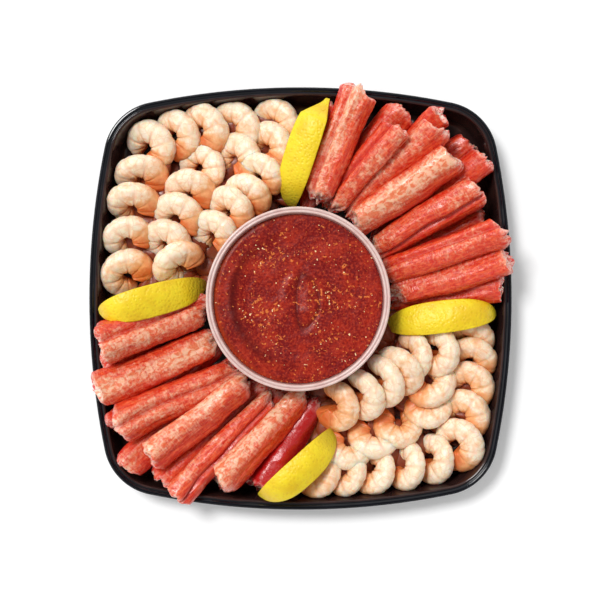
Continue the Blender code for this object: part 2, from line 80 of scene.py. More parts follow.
# Colours as the picture shows them, from 0 to 255
COLOURS = {
    # The wall colours are a painted reflection of the food that the tray's inner wall mirrors, with real smears
    "rim": (6, 7, 14), "smeared rim": (12, 13, 22), "wall": (44, 27, 26), "smeared wall": (60, 38, 34),
    # The cup's darker line colour is painted shade in the rim's groove
    "cup": (248, 222, 214), "cloudy cup": (238, 202, 194), "cup groove shade": (176, 120, 120),
    "deep sauce": (120, 18, 18), "sauce": (156, 36, 22), "pulp": (190, 66, 36), "between pulp": (92, 12, 14),
    # The sauce's band colour is painted shade in its hollow and groove, and its edge colour is painted light on
    # the left, the key's side
    "sauce shade": (72, 8, 10), "sauce lit edge": (186, 70, 26), "orange fleck": (222, 122, 56),
    "cream fleck": (250, 214, 160),
    "skin": (206, 42, 20), "skin thread": (232, 94, 50), "skin mottle": (240, 138, 94),
    "red patch": (196, 34, 22),
    # Of the stick colours below, the two darkest reds are painted shade on the sides, undersides and folds and
    # on sticks lying in shade, and the film colours are partly painted light
    "film": (232, 126, 84), "pale film": (244, 190, 156), "low stick": (200, 26, 22),
    "deepest stick": (150, 12, 20), "torn stick": (250, 216, 200),
    "rind": (243, 215, 34), "orange rind": (232, 194, 26), "pit": (228, 178, 20), "lemon tip": (190, 182, 52),
    "pith": (246, 238, 205), "lemon flesh": (240, 214, 92), "lemon thread": (228, 190, 60),
    # The warm and orange shrimp colours are partly the flesh's own colour and partly painted shade
    "shrimp": (255, 236, 212), "shrimp mottle": (251, 217, 182), "warm shrimp": (243, 180, 124),
    # The darkest shrimp colour and both core colours are painted shade, for the shrimps below seen in deep
    # shade
    "orange shrimp": (220, 114, 54), "vein": (220, 146, 78), "shaded shrimp": (110, 34, 20),
    "dark core": (34, 14, 10), "core": (112, 52, 32),
}

# Smooth noise: where each seed's grid starts, and the numbers that scramble its cells
NOISE_START = (17.3, 5.1, 29.7)
NOISE_SEEDS = 97
NOISE_FACTORS = (73856093, 19349663, 83492791)
NOISE_SCRAMBLES = ((13, 1274126177), (11, 668265263))
NOISE_MASK = 0xFFFFFFF

# Tray: a rounded square with slightly bowed sides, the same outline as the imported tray
TRAY_SIDE = 280 * MM
TRAY_SIDE_RADIUS = 500 * MM
TRAY_CORNER_RADIUS = 38 * MM
TRAY_LEAST_RADIUS = 0.1 * MM
TRAY_FLOOR = 1.8 * MM
TRAY_SIDE_STEPS = 12
TRAY_CORNER_STEPS = 22
# Each pair is how far in from the outer edge, and how high, in mm: up the inside, over the rim and down
TRAY_WALL = ((15.6, 1.8), (14.0, 1.9), (12.2, 2.2), (10.9, 2.9), (10.0, 4.0), (9.4, 5.4), (7.8, 13.0),
             (6.2, 21.5), (5.9, 22.9), (5.6, 23.9), (5.3, 24.4), (4.9, 24.62), (4.4, 24.76))
TRAY_RIM = ((4.0, 24.7), (3.6, 24.3), (3.3, 24.1), (2.9, 24.4), (2.4, 24.8), (1.9, 24.98), (1.4, 24.95),
            (0.95, 24.86), (0.5, 24.73), (0.2, 24.45), (0.05, 24.0), (0.0, 23.2), (0.0, 20.9), (0.3, 20.5))
TRAY_OUTSIDE = ((1.2, 20.5), (1.5, 20.8), (1.7, 22.3), (2.2, 22.7), (4.0, 22.7), (4.5, 22.3), (4.9, 20.6),
                (8.0, 4.8), (8.8, 2.8), (10.2, 1.2), (11.8, 0.3), (13.5, 0.0))

# Cup: a turned clear tub with a double rim
CUP_CENTRE = Vector((-1.6 * MM, -0.3 * MM, TRAY_FLOOR + GAP))
CUP_HEIGHT = 44.9 * MM
CUP_NECK_HEIGHT = 39.9 * MM
CUP_RIM_RADIUS = 60.2 * MM
CUP_TOP_RADIUS = 56.4 * MM
CUP_BASE_RADIUS = 48.0 * MM
CUP_WALL = 1.0 * MM
CUP_FOOT = 2.2 * MM
CUP_STEPS = 144
CUP_CENTRE_HOLE = 0.01 * MM
CUP_RIM_HAZE = 0.75
# Painted shade in the rim's groove: how far in from the rim's edge it lies, in mm, and how wide
CUP_GROOVE_SHADE = 2.0
CUP_GROOVE_SHADE_WIDTH = 0.28
# Each pair is how far in from the rim's edge, and how far below its top, in mm
CUP_RIM = ((3.9, 1.3), (3.8, 0.7), (3.5, 0.25), (3.1, 0.05), (2.7, 0.1), (2.35, 0.35), (2.1, 0.65),
           (1.9, 0.65), (1.7, 0.35), (1.4, 0.1), (1.0, 0.0), (0.55, 0.1), (0.2, 0.4), (0.0, 0.9),
           (0.0, 3.4), (0.9, 3.4), (1.5, 2.4), (3.0, 3.0))

# Sauce: its level above the cup's base, and the marks that a spoon left in it. A radius without a unit is a
# share of the cup's, and a bearing and its length are in degrees
SAUCE_LEVEL = 39.0 * MM
SAUCE_RINGS = 130
SAUCE_SPOKES = 260
SAUCE_BITE = 0.2 * MM
SAUCE_EDGE = 3 * MM
SAUCE_RIDGE_HEIGHT = 1.3 * MM
SAUCE_ARC_RADIUS = 0.74
SAUCE_ARC_WIDTH = 0.07
SAUCE_ARC_BEARING = (213, 45)
SAUCE_HOLLOW_RADIUS = 0.60
SAUCE_HOLLOW_SHARE = 0.5
SAUCE_HOOK_CENTRE = (4 * MM, 3 * MM)
SAUCE_HOOK_RADIUS = 12 * MM
SAUCE_HOOK_WIDTH = 3.5 * MM
SAUCE_HOOK_SHARE = 0.55
SAUCE_STEP_HEIGHT = 1.1 * MM
SAUCE_STEP_RADIUS = 0.77
SAUCE_STEP_WIDTH = 0.018
SAUCE_STEP_BEARING = (185, 62)
SAUCE_MOUND_CENTRE = (6.5 * MM, -1.5 * MM)
SAUCE_MOUND_SIZE = (6.5 * MM, 15 * MM)
SAUCE_MOUND_BEND = 0.35
SAUCE_MOUND_HEIGHT = 0.9 * MM
SAUCE_MOUND_WIDTH = 0.7
SAUCE_GROOVE_RADIUS = 1.15
SAUCE_GROOVE_WIDTH = 0.22
SAUCE_GROOVE_SHARE = 0.9
# (height, size, seed) of small waves, in mm
SAUCE_WAVES = ((0.22, 11, 3), (0.08, 3.5, 5), (0.05, 1.5, 7))
# Where the look shows flecks, dark bands of painted shade and a bright edge of painted light: each (middle,
# width) as a share of the radius
SAUCE_FLECKS = (0.35, 0.35)
SAUCE_FEWEST_FLECKS = 0.35
SAUCE_SHADE_BAND = (0.78, 0.06)
SAUCE_GROOVE_SHADE = (1.15, 0.16)
SAUCE_GROOVE_SHADE_SHARE = 0.7
SAUCE_LIT_EDGE = (0.985, 0.035)

# Crab sticks: their shape
STICK_SIDES = 64
STICK_RINGS = 92
STICK_CAP = (0.94, 0.80, 0.60, 0.38, 0.16)
STICK_RING_APART = 1 * MM
STICK_SMOOTHING = 5
STICK_DENT = 0.65
STICK_LEAST_DENTS = 3
STICK_FRAY = 13 * MM
STICK_SLANTS = (0.5 * MM, 4.5 * MM)
STICK_WRINKLE_SLANT = 0.9
STICK_WRINKLES = (0.14, 0.22)
STICK_ENDS_APART = 50 * MM
STICK_END_FULLNESS = 0.22
STICK_ROUNDING = 5 * MM
STICK_BLUNTNESS = 0.62
# How wide and deep the fold is, and where beside it the stick swells, how widely and by how much
FOLD_WIDTH = 0.20
FOLD_DEPTH = 0.36
FOLD_LIPS = (0.75, 0.35)
FOLD_LIP_HEIGHT = 0.06
# Noise: its strength, as a share or in mm, the sizes of its lumps along, across and up, in mm, and its seed
STICK_LUMPS = {
    "bulges": (0.08, (15, 9, 9), 0),
    "wander": (0.30, (18, 1000, 1000), 1),
    "bundles": (0.75, (40, 4.2, 4.2), 2),
    "fibres": (0.35, (15, 1.7, 1.7), 3),
    "slanted": (1.0, (2, 7, 7), 4),
    "lobes": (2.6, (1000, 5, 5), 5),
    "teeth": (1.6, (1000, 1.7, 1.7), 6),
    "frayed": (0.12, (1e6, 2.4, 2.4), 7),
    "hollow": (1.6, (1000, 2.5, 2.5), 8),
    "patches": (0.2, (16, 8, 8), 9),
}
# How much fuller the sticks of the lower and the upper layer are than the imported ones
STICK_FULLNESS = (1.22, 1.09)
STICK_LOWER_COUNTS = {"crab_stick_right": 7, "crab_stick_left": 6}
STICK_FULLEST = {"crab_stick_left_06": 1.45}
# How far back the inner and the outer end are drawn, of the lower and of the upper layer
STICK_PULLED_BACK = ((-4.0 * MM, 4.0 * MM), (0.5 * MM, 4.0 * MM))

# Crab sticks: what their look reads. How pale the film on each is, partly real and partly painted light, and
# the side it shows on, leaning towards the key, in degrees round from straight up
STICK_FILMS = {
    "crab_stick_right": (
        (0.20, 0), (0.35, 0), (0.40, 0), (0.30, 0), (0.35, 0), (0.35, 10), (0.20, 0), (0.42, 10),
        (0.42, 15), (0.55, 20), (0.58, 25), (1.00, 10), (0.62, -15), (0.82, 25),
    ),
    "crab_stick_left": (
        (0.20, 0), (0.30, 0), (0.60, 0), (0.30, 0), (0.25, 0), (0.20, 0), (0.72, -10), (0.95, 0),
        (0.75, 0), (0.90, 40), (0.58, 45), (1.05, 40),
    ),
}
FILM_WIDTH = 1.05
FILM_AT_ENDS = 0.16
TORN_SLOPE = 1.3
TORN_FROM = 0.62
TORN_INSIDE = 0.3
# Painted shade on the sticks: from where round each stick its sides and underside turn deeper red, how steeply,
# how much in the fold, and how much more on sticks lying in shade
SHADE_FROM = 0.62
SHADE_SLOPE = 1.7
SHADE_IN_FOLD = 0.7
SHADE_OF_LAYER = 0.6
# Painted shade: how much darker red the sticks of the lower and the upper layer are painted, as they lie in
# shade, and those in the deepest shade
STICK_LAYER_SHADE = (0.30, 0.0)
STICK_DARKEST_SHADE = {"crab_stick_left_06": 1.5, "crab_stick_right_01": 0.6}

# Lemon wedges: (inner end, outer end, lean in degrees), in mm, rind up, as they are packed
LEMON_WEDGES = {
    "lemon_wedge_top": (-5, 60, 19, 132, -16),
    "lemon_wedge_left": (-63, 11, -133, -8, -8),
    "lemon_wedge_right": (57, -19, 130, -10, -6),
    "lemon_wedge_bottom": (21, -86, -28, -130, -16),
}
LEMON_RADIUS = 26 * MM
LEMON_ANGLE = math.radians(49)
LEMON_CORE_SHARE = 0.18
LEMON_NUB_SHARE = 0.14
LEMON_BLUNTNESS = 2.7
LEMON_RINGS = 72
LEMON_RIND_STEPS = 30
LEMON_CUT_STEPS = 14
LEMON_END_SHARE = 0.01
LEMON_PITH_DEPTH = 0.12
LEMON_PITH_STEP = 0.2 * MM
LEMON_SWELL = 0.7 * MM
LEMON_SWELL_SIZES = (16, 12, 12)
LEMON_SWELL_DEPTH = 0.5
# The shares of the length between which a wedge with a nub at its outer tip narrows, and by how much
LEMON_NIPPLE = (0.30, 0.45)
LEMON_NIPPLE_END = (0.50, 0.48)
LEMON_NIPPLE_TAPERS = {"lemon_wedge_top": 0.5}
# The shares of the length between which the rind turns green, at the inner and at the outer tip
LEMON_GREEN_INNER = (-0.30, -0.46)
LEMON_GREEN_OUTER = (0.40, 0.50)
LEMON_GREEN_OUTER_SHARE = 0.4

# Shrimps: their shape
SHRIMP_SIZE = 34 * MM
SHRIMP_HEAD = 16.4 * MM
SHRIMP_TAIL = 11.6 * MM
SHRIMP_LENGTH = 90 * MM
SHRIMP_SWEEP = math.radians(296)
SHRIMP_FLATNESS = 0.78
SHRIMP_COARSE = (8, 8)
SHRIMP_FINE = (80, 40)
SHRIMP_BELOW = (48, 24)
SHRIMP_PLUMPNESS = (1.08, 1.17)
SHRIMP_CURL = (16, 40)
SHRIMP_TUCK = (2 * MM, 6 * MM)
SHRIMP_LEAST_HOLE = 2.6 * MM
SHRIMP_END_SHARE = 0.62
SHRIMP_END_GROWTH = 3.2
# How each end is rounded: over which share of the length, and how bluntly
SHRIMP_HEAD_END = (0.07, 2.4)
SHRIMP_TAIL_END = (0.12, 2.2)
SHRIMP_LEAST_END = 0.03
SHRIMP_CREASES = (0.10, 0.24, 0.38, 0.52, 0.66, 0.80, 0.91)
SHRIMP_CREASE_SPREAD = 0.012
SHRIMP_CREASE_WIDTH = 0.013
SHRIMP_CREASE_DEPTHS = (0.45 * MM, 0.7 * MM)
# The slit along the back: the angle it starts at, how it wanders, and how wide, long and deep it is
SHRIMP_SLIT = (0.7, 1.3)
SHRIMP_SLIT_WANDER = 0.2
SHRIMP_SLIT_WAVES = 9
SHRIMP_SLIT_WIDTH = 0.10
SHRIMP_SLIT_PART = (0.45, 0.35)
SHRIMP_SLIT_DEPTH = 0.7 * MM
# Noise: how strong it is, and the sizes of its lumps in mm
SHRIMP_BULGES = (0.06, (12, 12, 12))
SHRIMP_LUMPS = (0.45 * MM, (5, 5, 5))
SHRIMP_LUMPS_OUTSIDE = 0.4
SHRIMP_SQUARENESS = 0.06

# Shrimps: what their look reads
SHRIMP_CREASE_OUTSIDE = 0.25
SHRIMP_SLIT_SHADE = 0.6
# The warm mark: the head and tail orange, partly the flesh's own colour and partly painted shade, and the inner
# side painted shade
SHRIMP_WARM_HEAD = 0.34
SHRIMP_WARM_CURVE = 0.7
SHRIMP_INSIDE_SHADE = 0.6
SHRIMP_WARM_TAIL = 0.5
SHRIMP_WARM_TAIL_WIDTH = 0.07
# Per heap a random spread of tone, with painted shade: the lower right heap warmer and darker, as less light
# falls there; the shrimps below painted orange as shade
SHRIMP_TONE_AND_SHADE = {"shrimps_upper_left": (-0.15, 0.2), "shrimps_lower_right": (0.0, 0.42)}
SHRIMP_BELOW_SHADE = (0.7, 1.0)

# Heaps: each row has its centres in mm in the order in which they were laid, how far its openings turn
# from the way the row runs, in degrees, and how much each leans on the one before and how much outwards
SHRIMP_HEAPS = {
    "shrimps_upper_left": (
        (((-17, 120), (-46, 118), (-65, 114), (-82, 109), (-100, 102), (-106, 82), (-112, 64), (-115, 41),
          (-117, 17)), 45, 1.0, 0.30),
        (((-21, 100), (-42, 93), (-66, 87), (-73, 71), (-81, 55), (-89, 38), (-81, 23)), 45, 0.9, 0.10),
        (((-26, 82), (-35, 68), (-46, 58), (-57, 43)), 45, 0.9, 0.0),
    ),
    "shrimps_lower_right": (
        (((113, -26), (115, -40), (117, -61), (114, -81), (107, -98), (89, -107), (71, -112), (50, -117),
          (32, -120), (13, -122)), -35, 1.0, 0.30),
        (((31, -98), (49, -91), (65, -84), (85, -71), (87, -57)), 85, 0.3, 0.50),
        (((91, -35), (73, -38), (65, -48), (54, -55), (41, -64), (24, -71)), -40, 1.0, 0.0),
    ),
}
SHRIMP_SIZES = (0.93, 1.04)
SHRIMP_OPENING_SPREAD = math.radians(14)
SHRIMP_STEEPEST = 0.8
SHRIMP_ROW_LIFT = 4.5 * MM
SHRIMP_WALL_LIFT = 4.0 * MM
SHRIMP_NUDGE = 0.5 * MM
SHRIMP_MOST_NUDGES = 20
SHRIMP_BELOW_HEIGHT = 8.5 * MM
SHRIMP_BELOW_RADIUS = 70 * MM
# More flat shrimps below: where they lie, in mm, and the way their openings face, in degrees
SHRIMP_BELOW_MORE = {"shrimps_upper_left": ((-62, 32, 75),), "shrimps_lower_right": ((17, -84, 300),)}
CORE_TOP = 8 * MM

# Height grid on which each shrimp finds what it lies on
GRID_HALF = 160 * MM
GRID_STEP = 0.5 * MM
GRID_MARGIN = 0.001
GRID_LEAST_AREA = 1e-12
EMPTY = -1.0


def srgb(red, green, blue):
    """A colour as the picture shows it, from 0 to 255, as the shaders count it."""
    def straight(value):
        value /= 255
        return value / 12.92 if value <= 0.04045 else ((value + 0.055) / 1.055) ** 2.4
    return straight(red), straight(green), straight(blue)


def lumps(points, sizes, seed):
    """Smooth noise from -1 to 1 at these points, with lumps of these sizes in mm along X, Y and Z."""
    scaled = points / (np.array(sizes) * MM) + np.array(NOISE_START) * (seed % NOISE_SEEDS + 1)
    cell = np.floor(scaled).astype(np.int64)
    part = scaled - cell
    part = part * part * (3 - 2 * part)
    total = np.zeros(len(points))
    for corner in itertools.product((0, 1), repeat=3):
        mixed = np.bitwise_xor.reduce((cell + np.array(corner)) * np.array(NOISE_FACTORS), axis=1)
        for shift, factor in NOISE_SCRAMBLES:
            mixed = ((mixed ^ (mixed >> shift)) * factor) & NOISE_MASK
        value = mixed / (NOISE_MASK // 2) - 1.0
        total += value * np.prod(np.where(corner, part, 1 - part), axis=1)
    return total


def bump(value, middle, width):
    """1 at the middle, falling to nothing on both sides."""
    return np.exp(-(((value - middle) / width) ** 2))


def ramp(value, start, end):
    """0 before the start, 1 beyond the end and straight between. The end may be the lower one."""
    return np.clip((value - start) / (end - start), 0, 1)


def rounded_end(from_end, size, power):
    """The share of its full width that a rounded end of this size has this far from its tip."""
    return np.sqrt(1 - (1 - ramp(from_end, 0, size)) ** power)


def turn_angles(count):
    """This many angles, evenly round a full turn."""
    return 2 * math.pi * np.arange(count) / count


def apart(angle, other):
    """How far the angle is turned from the other, from -pi to pi."""
    return (angle - other + math.pi) % (2 * math.pi) - math.pi


def moved(points, matrix):
    """The points, carried by this 4 by 4 matrix."""
    matrix = np.array(matrix)
    return points @ matrix[:3, :3].T + matrix[:3, 3]


def tube_faces(rings, sides, closed=False):
    """Quads between rings of points that turn anticlockwise seen from the last ring.

    Both ends are capped, or quads close the tube from its last ring back to its first.
    """
    faces = []
    for ring in range(rings if closed else rings - 1):
        here = ring * sides
        above = (ring + 1) % rings * sides
        for side in range(sides):
            beside = (side + 1) % sides
            faces.append((here + side, here + beside, above + beside, above + side))
    if closed:
        return faces
    return [tuple(reversed(range(sides))), *faces, tuple(range((rings - 1) * sides, rings * sides))]


def turned_over(faces):
    """The faces, each seen from its other side."""
    return [tuple(reversed(face)) for face in faces]


def triangles(faces):
    """The faces, each cut into a fan of triangles."""
    return [(face[0], face[i], face[i + 1]) for face in faces for i in range(1, len(face) - 1)]


def add_mesh(name, points, faces, material, marks=None):
    """A smooth piece of these points. Each mark has a value for every point, which the material reads."""
    mesh = bpy.data.meshes.new(name)
    mesh.from_pydata(np.asarray(points).tolist(), [], faces)
    mesh.shade_smooth()
    for mark, values in (marks or {}).items():
        layer = mesh.attributes.new(mark, "FLOAT", "POINT")
        layer.data.foreach_set("value", np.asarray(values, np.float32))
    mesh.materials.append(material)
    item = bpy.data.objects.new(name, mesh)
    bpy.context.scene.collection.objects.link(item)
    return item


def hand_over(piece, node):
    """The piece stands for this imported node, and moves with the whole."""
    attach(piece, "root")
    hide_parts(node)


def node_points(node):
    """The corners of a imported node, each once."""
    found = np.array([tuple(vertex.co) for vertex in node.data.vertices])
    return np.unique(np.round(found, 6), axis=0)


class Wiring:
    """Short ways to add nodes to a tree and wire them."""

    def __init__(self, tree):
        self.tree = tree

    def node(self, kind, sockets=None, **settings):
        """A node with these settings, and with these sources at its inputs."""
        made = self.tree.nodes.new(kind)
        for setting, value in settings.items():
            setattr(made, setting, value)
        for socket, source in (sockets or {}).items():
            self.wire(source, made.inputs[socket])
        return made

    def wire(self, source, target):
        """Joins an output to an input, or sets the input where the source is a plain value."""
        if isinstance(source, bpy.types.NodeSocket):
            self.tree.links.new(source, target)
        else:
            target.default_value = source

    def math(self, operation, first, second):
        return self.node("ShaderNodeMath", {0: first, 1: second}, operation=operation).outputs["Value"]

    def fade(self, value, low, high):
        """0 where the value is low or less, 1 where it is high or more, and smooth between."""
        sockets = {"Value": value, "From Min": low, "From Max": high}
        return self.node("ShaderNodeMapRange", sockets, interpolation_type="SMOOTHSTEP").outputs["Result"]

    def between(self, value, least, most):
        """The value, from 0 to 1, spread out from the least to the most."""
        sockets = {"Value": value, "To Min": least, "To Max": most}
        return self.node("ShaderNodeMapRange", sockets).outputs["Result"]


class Look(Wiring):
    """A material, and the textures and mixes that its shader is wired from."""

    def __init__(self, name, **sockets):
        self.material = bpy.data.materials.new(name)
        self.material.use_nodes = True
        super().__init__(self.material.node_tree)
        self.shader = self.tree.nodes["Principled BSDF"]
        self.paint(**sockets)

    def paint(self, **sockets):
        """The material, with these outputs or plain values at its shader's inputs."""
        for socket, source in sockets.items():
            self.wire(source, self.shader.inputs[socket.replace("_", " ")])
        return self.material

    def place(self, stretch=(1, 1, 1), turn=(0, 0, 0)):
        """The point in the piece's own frame, turned in degrees and stretched."""
        sockets = {
            "Vector": self.node("ShaderNodeTexCoord").outputs["Object"],
            "Rotation": tuple(math.radians(angle) for angle in turn),
            "Scale": stretch,
        }
        return self.node("ShaderNodeMapping", sockets).outputs["Vector"]

    def noise(self, size, detail=2.0, stretch=(1, 1, 1), turn=(0, 0, 0), distortion=0.0):
        """Noise from 0 to 1 with lumps of this size."""
        vector = self.place(stretch, turn)
        sockets = {"Vector": vector, "Scale": 1 / size, "Detail": detail, "Distortion": distortion}
        return self.node("ShaderNodeTexNoise", sockets).outputs["Fac"]

    def cells(self, size, feature="F1"):
        """Distance to the nearest of scattered points this far apart, or to the edges between them."""
        sockets = {"Vector": self.place(), "Scale": 1 / size}
        return self.node("ShaderNodeTexVoronoi", sockets, feature=feature).outputs["Distance"]

    def mark(self, name):
        """The values that the piece has for this mark."""
        return self.node("ShaderNodeAttribute", attribute_name=name).outputs["Fac"]

    def add(self, first, *others):
        """The sum of the first value and of the others, each an (output, share) pair."""
        for value, share in others:
            first = self.math("ADD", first, self.math("MULTIPLY", value, share))
        return first

    def swing(self, value):
        """The value, from 0 to 1, moved to swing about 0."""
        return self.math("SUBTRACT", value, 0.5)

    def mix(self, share, first, second):
        """The first colour, with this share of the second. Each is an output, a name or shares of light."""
        made = self.node("ShaderNodeMix", {"Factor": share}, data_type="RGBA")
        for name, colour in (("A", first), ("B", second)):
            if isinstance(colour, str):
                colour = srgb(*COLOURS[colour])
            socket = next(entry for entry in made.inputs if entry.type == "RGBA" and entry.name == name)
            self.wire((*colour, 1.0) if isinstance(colour, tuple) else colour, socket)
        return next(output for output in made.outputs if output.type == "RGBA")

    def tint(self, body, colour, share, strength=1.0):
        """The body with this share of a named colour, times the strength."""
        return self.mix(self.math("MULTIPLY", share, strength), body, colour)

    def raise_by(self, height, distance, strength=1.0, under=None):
        """Bumps of this height field, this high in metres, on top of those under them."""
        sockets = {"Height": height, "Distance": distance, "Strength": strength}
        if under is not None:
            sockets["Normal"] = under
        return self.node("ShaderNodeBump", sockets).outputs["Normal"]


def tray_look():
    """Black plastic with faint smears, its wall painted browner than its rim as a painted reflection of the
    food it mirrors.
    """
    look = Look("tray plastic", IOR=1.45, Specular_IOR_Level=0.5)
    smears = look.noise(18 * MM, detail=4, distortion=1.0)
    smeared = look.fade(smears, 0.4, 0.7)
    rim = look.mix(smeared, "rim", "smeared rim")
    # Painted reflection: the wall's brown stands for the food that it mirrors
    wall = look.mix(smeared, "wall", "smeared wall")
    sweep = look.raise_by(look.noise(60 * MM, detail=1), 0.6 * MM, 0.3)
    return look.paint(
        Base_Color=look.mix(look.mark("inside"), rim, wall),
        Roughness=look.between(smears, 0.04, 0.14),
        Normal=look.raise_by(look.noise(1.2 * MM, detail=3), 0.01 * MM, under=sweep),
    )


def cup_look(name, haze):
    """Clear plastic, or plastic with this share of haze and a darker line of painted shade where its mark says
    so.
    """
    look = Look(name, IOR=1.46, Roughness=0.06 + 0.25 * haze, Transmission_Weight=1.0 - haze)
    clouds = look.fade(look.noise(6 * MM, detail=3), 0.35, 0.7)
    body = look.mix(clouds, "cup", "cloudy cup")
    return look.paint(
        Base_Color=look.tint(body, "cup groove shade", look.mark("line"), 0.55),
        Normal=look.raise_by(look.noise(9 * MM), 0.1 * MM, 0.4),
    )


def sauce_look():
    """Red sauce with pulp in it, orange and cream flecks, dark bands of painted shade and a bright edge of
    painted light.
    """
    look = Look("cocktail sauce", Specular_IOR_Level=0.16, Subsurface_Weight=0.10,
                Subsurface_Radius=(0.9, 0.25, 0.15), Subsurface_Scale=1.2 * MM)
    pulp = look.noise(1.5 * MM, detail=3, distortion=0.4)
    body = look.mix(look.fade(look.noise(13 * MM), 0.38, 0.66), "deep sauce", "sauce")
    body = look.tint(body, "pulp", look.fade(pulp, 0.48, 0.66), 0.55)
    body = look.tint(body, "between pulp", look.fade(pulp, 0.46, 0.32), 0.6)
    # Painted shade: the dark band, the cup rim's shadow in the left hollow, and round the mound's groove
    body = look.tint(body, "sauce shade", look.mark("shade_band"), 0.85)
    # Painted light: the bright edge on the left, the key's side
    body = look.tint(body, "sauce lit edge", look.mark("edge"), 0.55)
    crowd = look.math("MULTIPLY", look.fade(look.noise(15 * MM, detail=1), 0.40, 0.60), look.mark("flecks"))
    orange = look.add(look.noise(2.0 * MM, detail=1), (crowd, 0.10))
    body = look.tint(body, "orange fleck", look.fade(orange, 0.69, 0.75), 0.8)
    cream = look.add(look.noise(2.1 * MM, detail=1, turn=(20, 50, 0)), (crowd, 0.08))
    body = look.tint(body, "cream fleck", look.fade(cream, 0.765, 0.80))
    waves = look.raise_by(look.noise(4 * MM), 0.5 * MM, 0.4)
    return look.paint(
        Base_Color=body,
        Roughness=look.between(look.noise(2.2 * MM), 0.2, 0.5),
        Normal=look.raise_by(pulp, 0.25 * MM, 0.5, waves),
    )


def stick_look():
    """Red skin in threads under a pale streaky film, partly painted light towards the key, with painted shade
    in deeper red on the sides, undersides and folds and on sticks lying in shade, and pale where it is torn.
    """
    look = Look("crab stick", Specular_IOR_Level=0.45, Subsurface_Weight=0.45,
                Subsurface_Radius=(1.0, 0.18, 0.10), Subsurface_Scale=3.0 * MM,
                Coat_Weight=0.22, Coat_Roughness=0.14)
    streaks = look.noise(3.2 * MM, stretch=(0.45, 1.5, 1.5), turn=(0, 0, 28), distortion=0.8)
    hatching = look.noise(1.6 * MM, stretch=(1.5, 0.35, 0.35), turn=(0, 0, 20), distortion=0.6)
    mottle = look.noise(3.0 * MM, detail=3, stretch=(0.8, 1.2, 1.2), distortion=0.7)
    threads = look.noise(1.5 * MM, stretch=(0.12, 1.3, 1.3))
    patches = look.noise(10 * MM)
    skin = look.mix(look.fade(threads, 0.35, 0.68), "skin", "skin thread")
    skin = look.tint(skin, "skin mottle", look.fade(mottle, 0.52, 0.70), 0.35)
    skin = look.tint(skin, "red patch", look.fade(patches, 0.45, 0.66), 0.35)
    # The pale film: partly real, partly painted light where it faces the key
    pale = look.mix(look.fade(mottle, 0.40, 0.58), "film", "pale film")
    share = look.add(look.mark("film"), (look.swing(streaks), 0.8), (look.swing(patches), 0.5),
                     (look.swing(hatching), 0.9))
    body = look.mix(look.fade(share, 0.30, 1.02), skin, pale)
    # Painted shade: deeper red where the low mark says, darkest on the sticks lying in shade
    body = look.tint(body, "low stick", look.mark("low"), 0.8)
    body = look.tint(body, "deepest stick", look.fade(look.mark("low"), 1.0, 1.9))
    body = look.tint(body, "torn stick", look.mark("torn"), look.fade(streaks, 0.38, 0.62))
    return look.paint(
        Base_Color=body,
        Roughness=look.between(mottle, 0.10, 0.52),
        Normal=look.raise_by(hatching, 0.45 * MM, 0.8, look.raise_by(mottle, 0.5 * MM, 0.6)),
    )


def lemon_look():
    """Pitted rind, greener at the tips, and by depth the pith and then the flesh."""
    look = Look("lemon", Specular_IOR_Level=0.4, Subsurface_Weight=0.1,
                Subsurface_Radius=(1.0, 0.7, 0.15), Subsurface_Scale=1.0 * MM)
    depth = look.mark("depth")
    pits = look.fade(look.cells(2.1 * MM), 0.10, 0.62)
    rind = look.mix(look.fade(look.noise(14 * MM), 0.35, 0.7), "rind", "orange rind")
    rind = look.tint(rind, "pit", look.fade(pits, 0.5, 0.0), 0.35)
    rind = look.tint(rind, "lemon tip", look.mark("tip"), 0.7)
    body = look.mix(look.fade(depth, 0.03, 0.05), rind, "pith")
    threads = look.noise(3.0 * MM, stretch=(0.5, 1.0, 1.0))
    flesh = look.mix(look.fade(threads, 0.35, 0.65), "lemon flesh", "lemon thread")
    return look.paint(
        Base_Color=look.mix(look.fade(depth, 0.14, 0.17), body, flesh),
        Roughness=look.between(look.noise(4 * MM), 0.30, 0.52),
        Normal=look.raise_by(pits, 0.30 * MM, 0.7, look.raise_by(look.noise(5 * MM), 0.6 * MM, 0.6)),
    )


def shrimp_look():
    """Cream flesh, orange where the warm mark says, partly its own colour and partly painted shade, with darker
    creases and veins, and dark painted shade on the shrimps below.
    """
    look = Look("shrimp", Specular_IOR_Level=0.5, Subsurface_Weight=0.5,
                Subsurface_Radius=(1.0, 0.45, 0.25), Subsurface_Scale=3.0 * MM)
    mottle = look.noise(4.0 * MM, detail=3, distortion=0.5)
    body = look.mix(look.fade(mottle, 0.36, 0.74), "shrimp", "shrimp mottle")
    # Painted shade: orange on the inner side and where shade falls, with the head and tail partly the flesh's
    # own orange
    warm = look.add(look.mark("warm"), (look.swing(mottle), 0.7))
    body = look.tint(body, "warm shrimp", look.fade(warm, 0.10, 0.65))
    body = look.tint(body, "orange shrimp", look.fade(warm, 0.5, 1.05))
    veins = look.fade(look.cells(6 * MM, "DISTANCE_TO_EDGE"), 0.06, 0.0)
    lines = look.math("MAXIMUM", look.mark("crease"), look.math("MULTIPLY", veins, 0.45))
    body = look.tint(body, "vein", lines, 0.7)
    # Painted shade: the shrimps below, dark where their deep mark says
    body = look.tint(body, "shaded shrimp", look.mark("deep"), 0.8)
    swells = look.raise_by(look.noise(4.5 * MM), 0.6 * MM, 0.7)
    return look.paint(
        Base_Color=body,
        Roughness=look.between(look.noise(3 * MM), 0.24, 0.52),
        Normal=look.raise_by(look.noise(1.2 * MM), 0.14 * MM, 0.6, swells),
    )


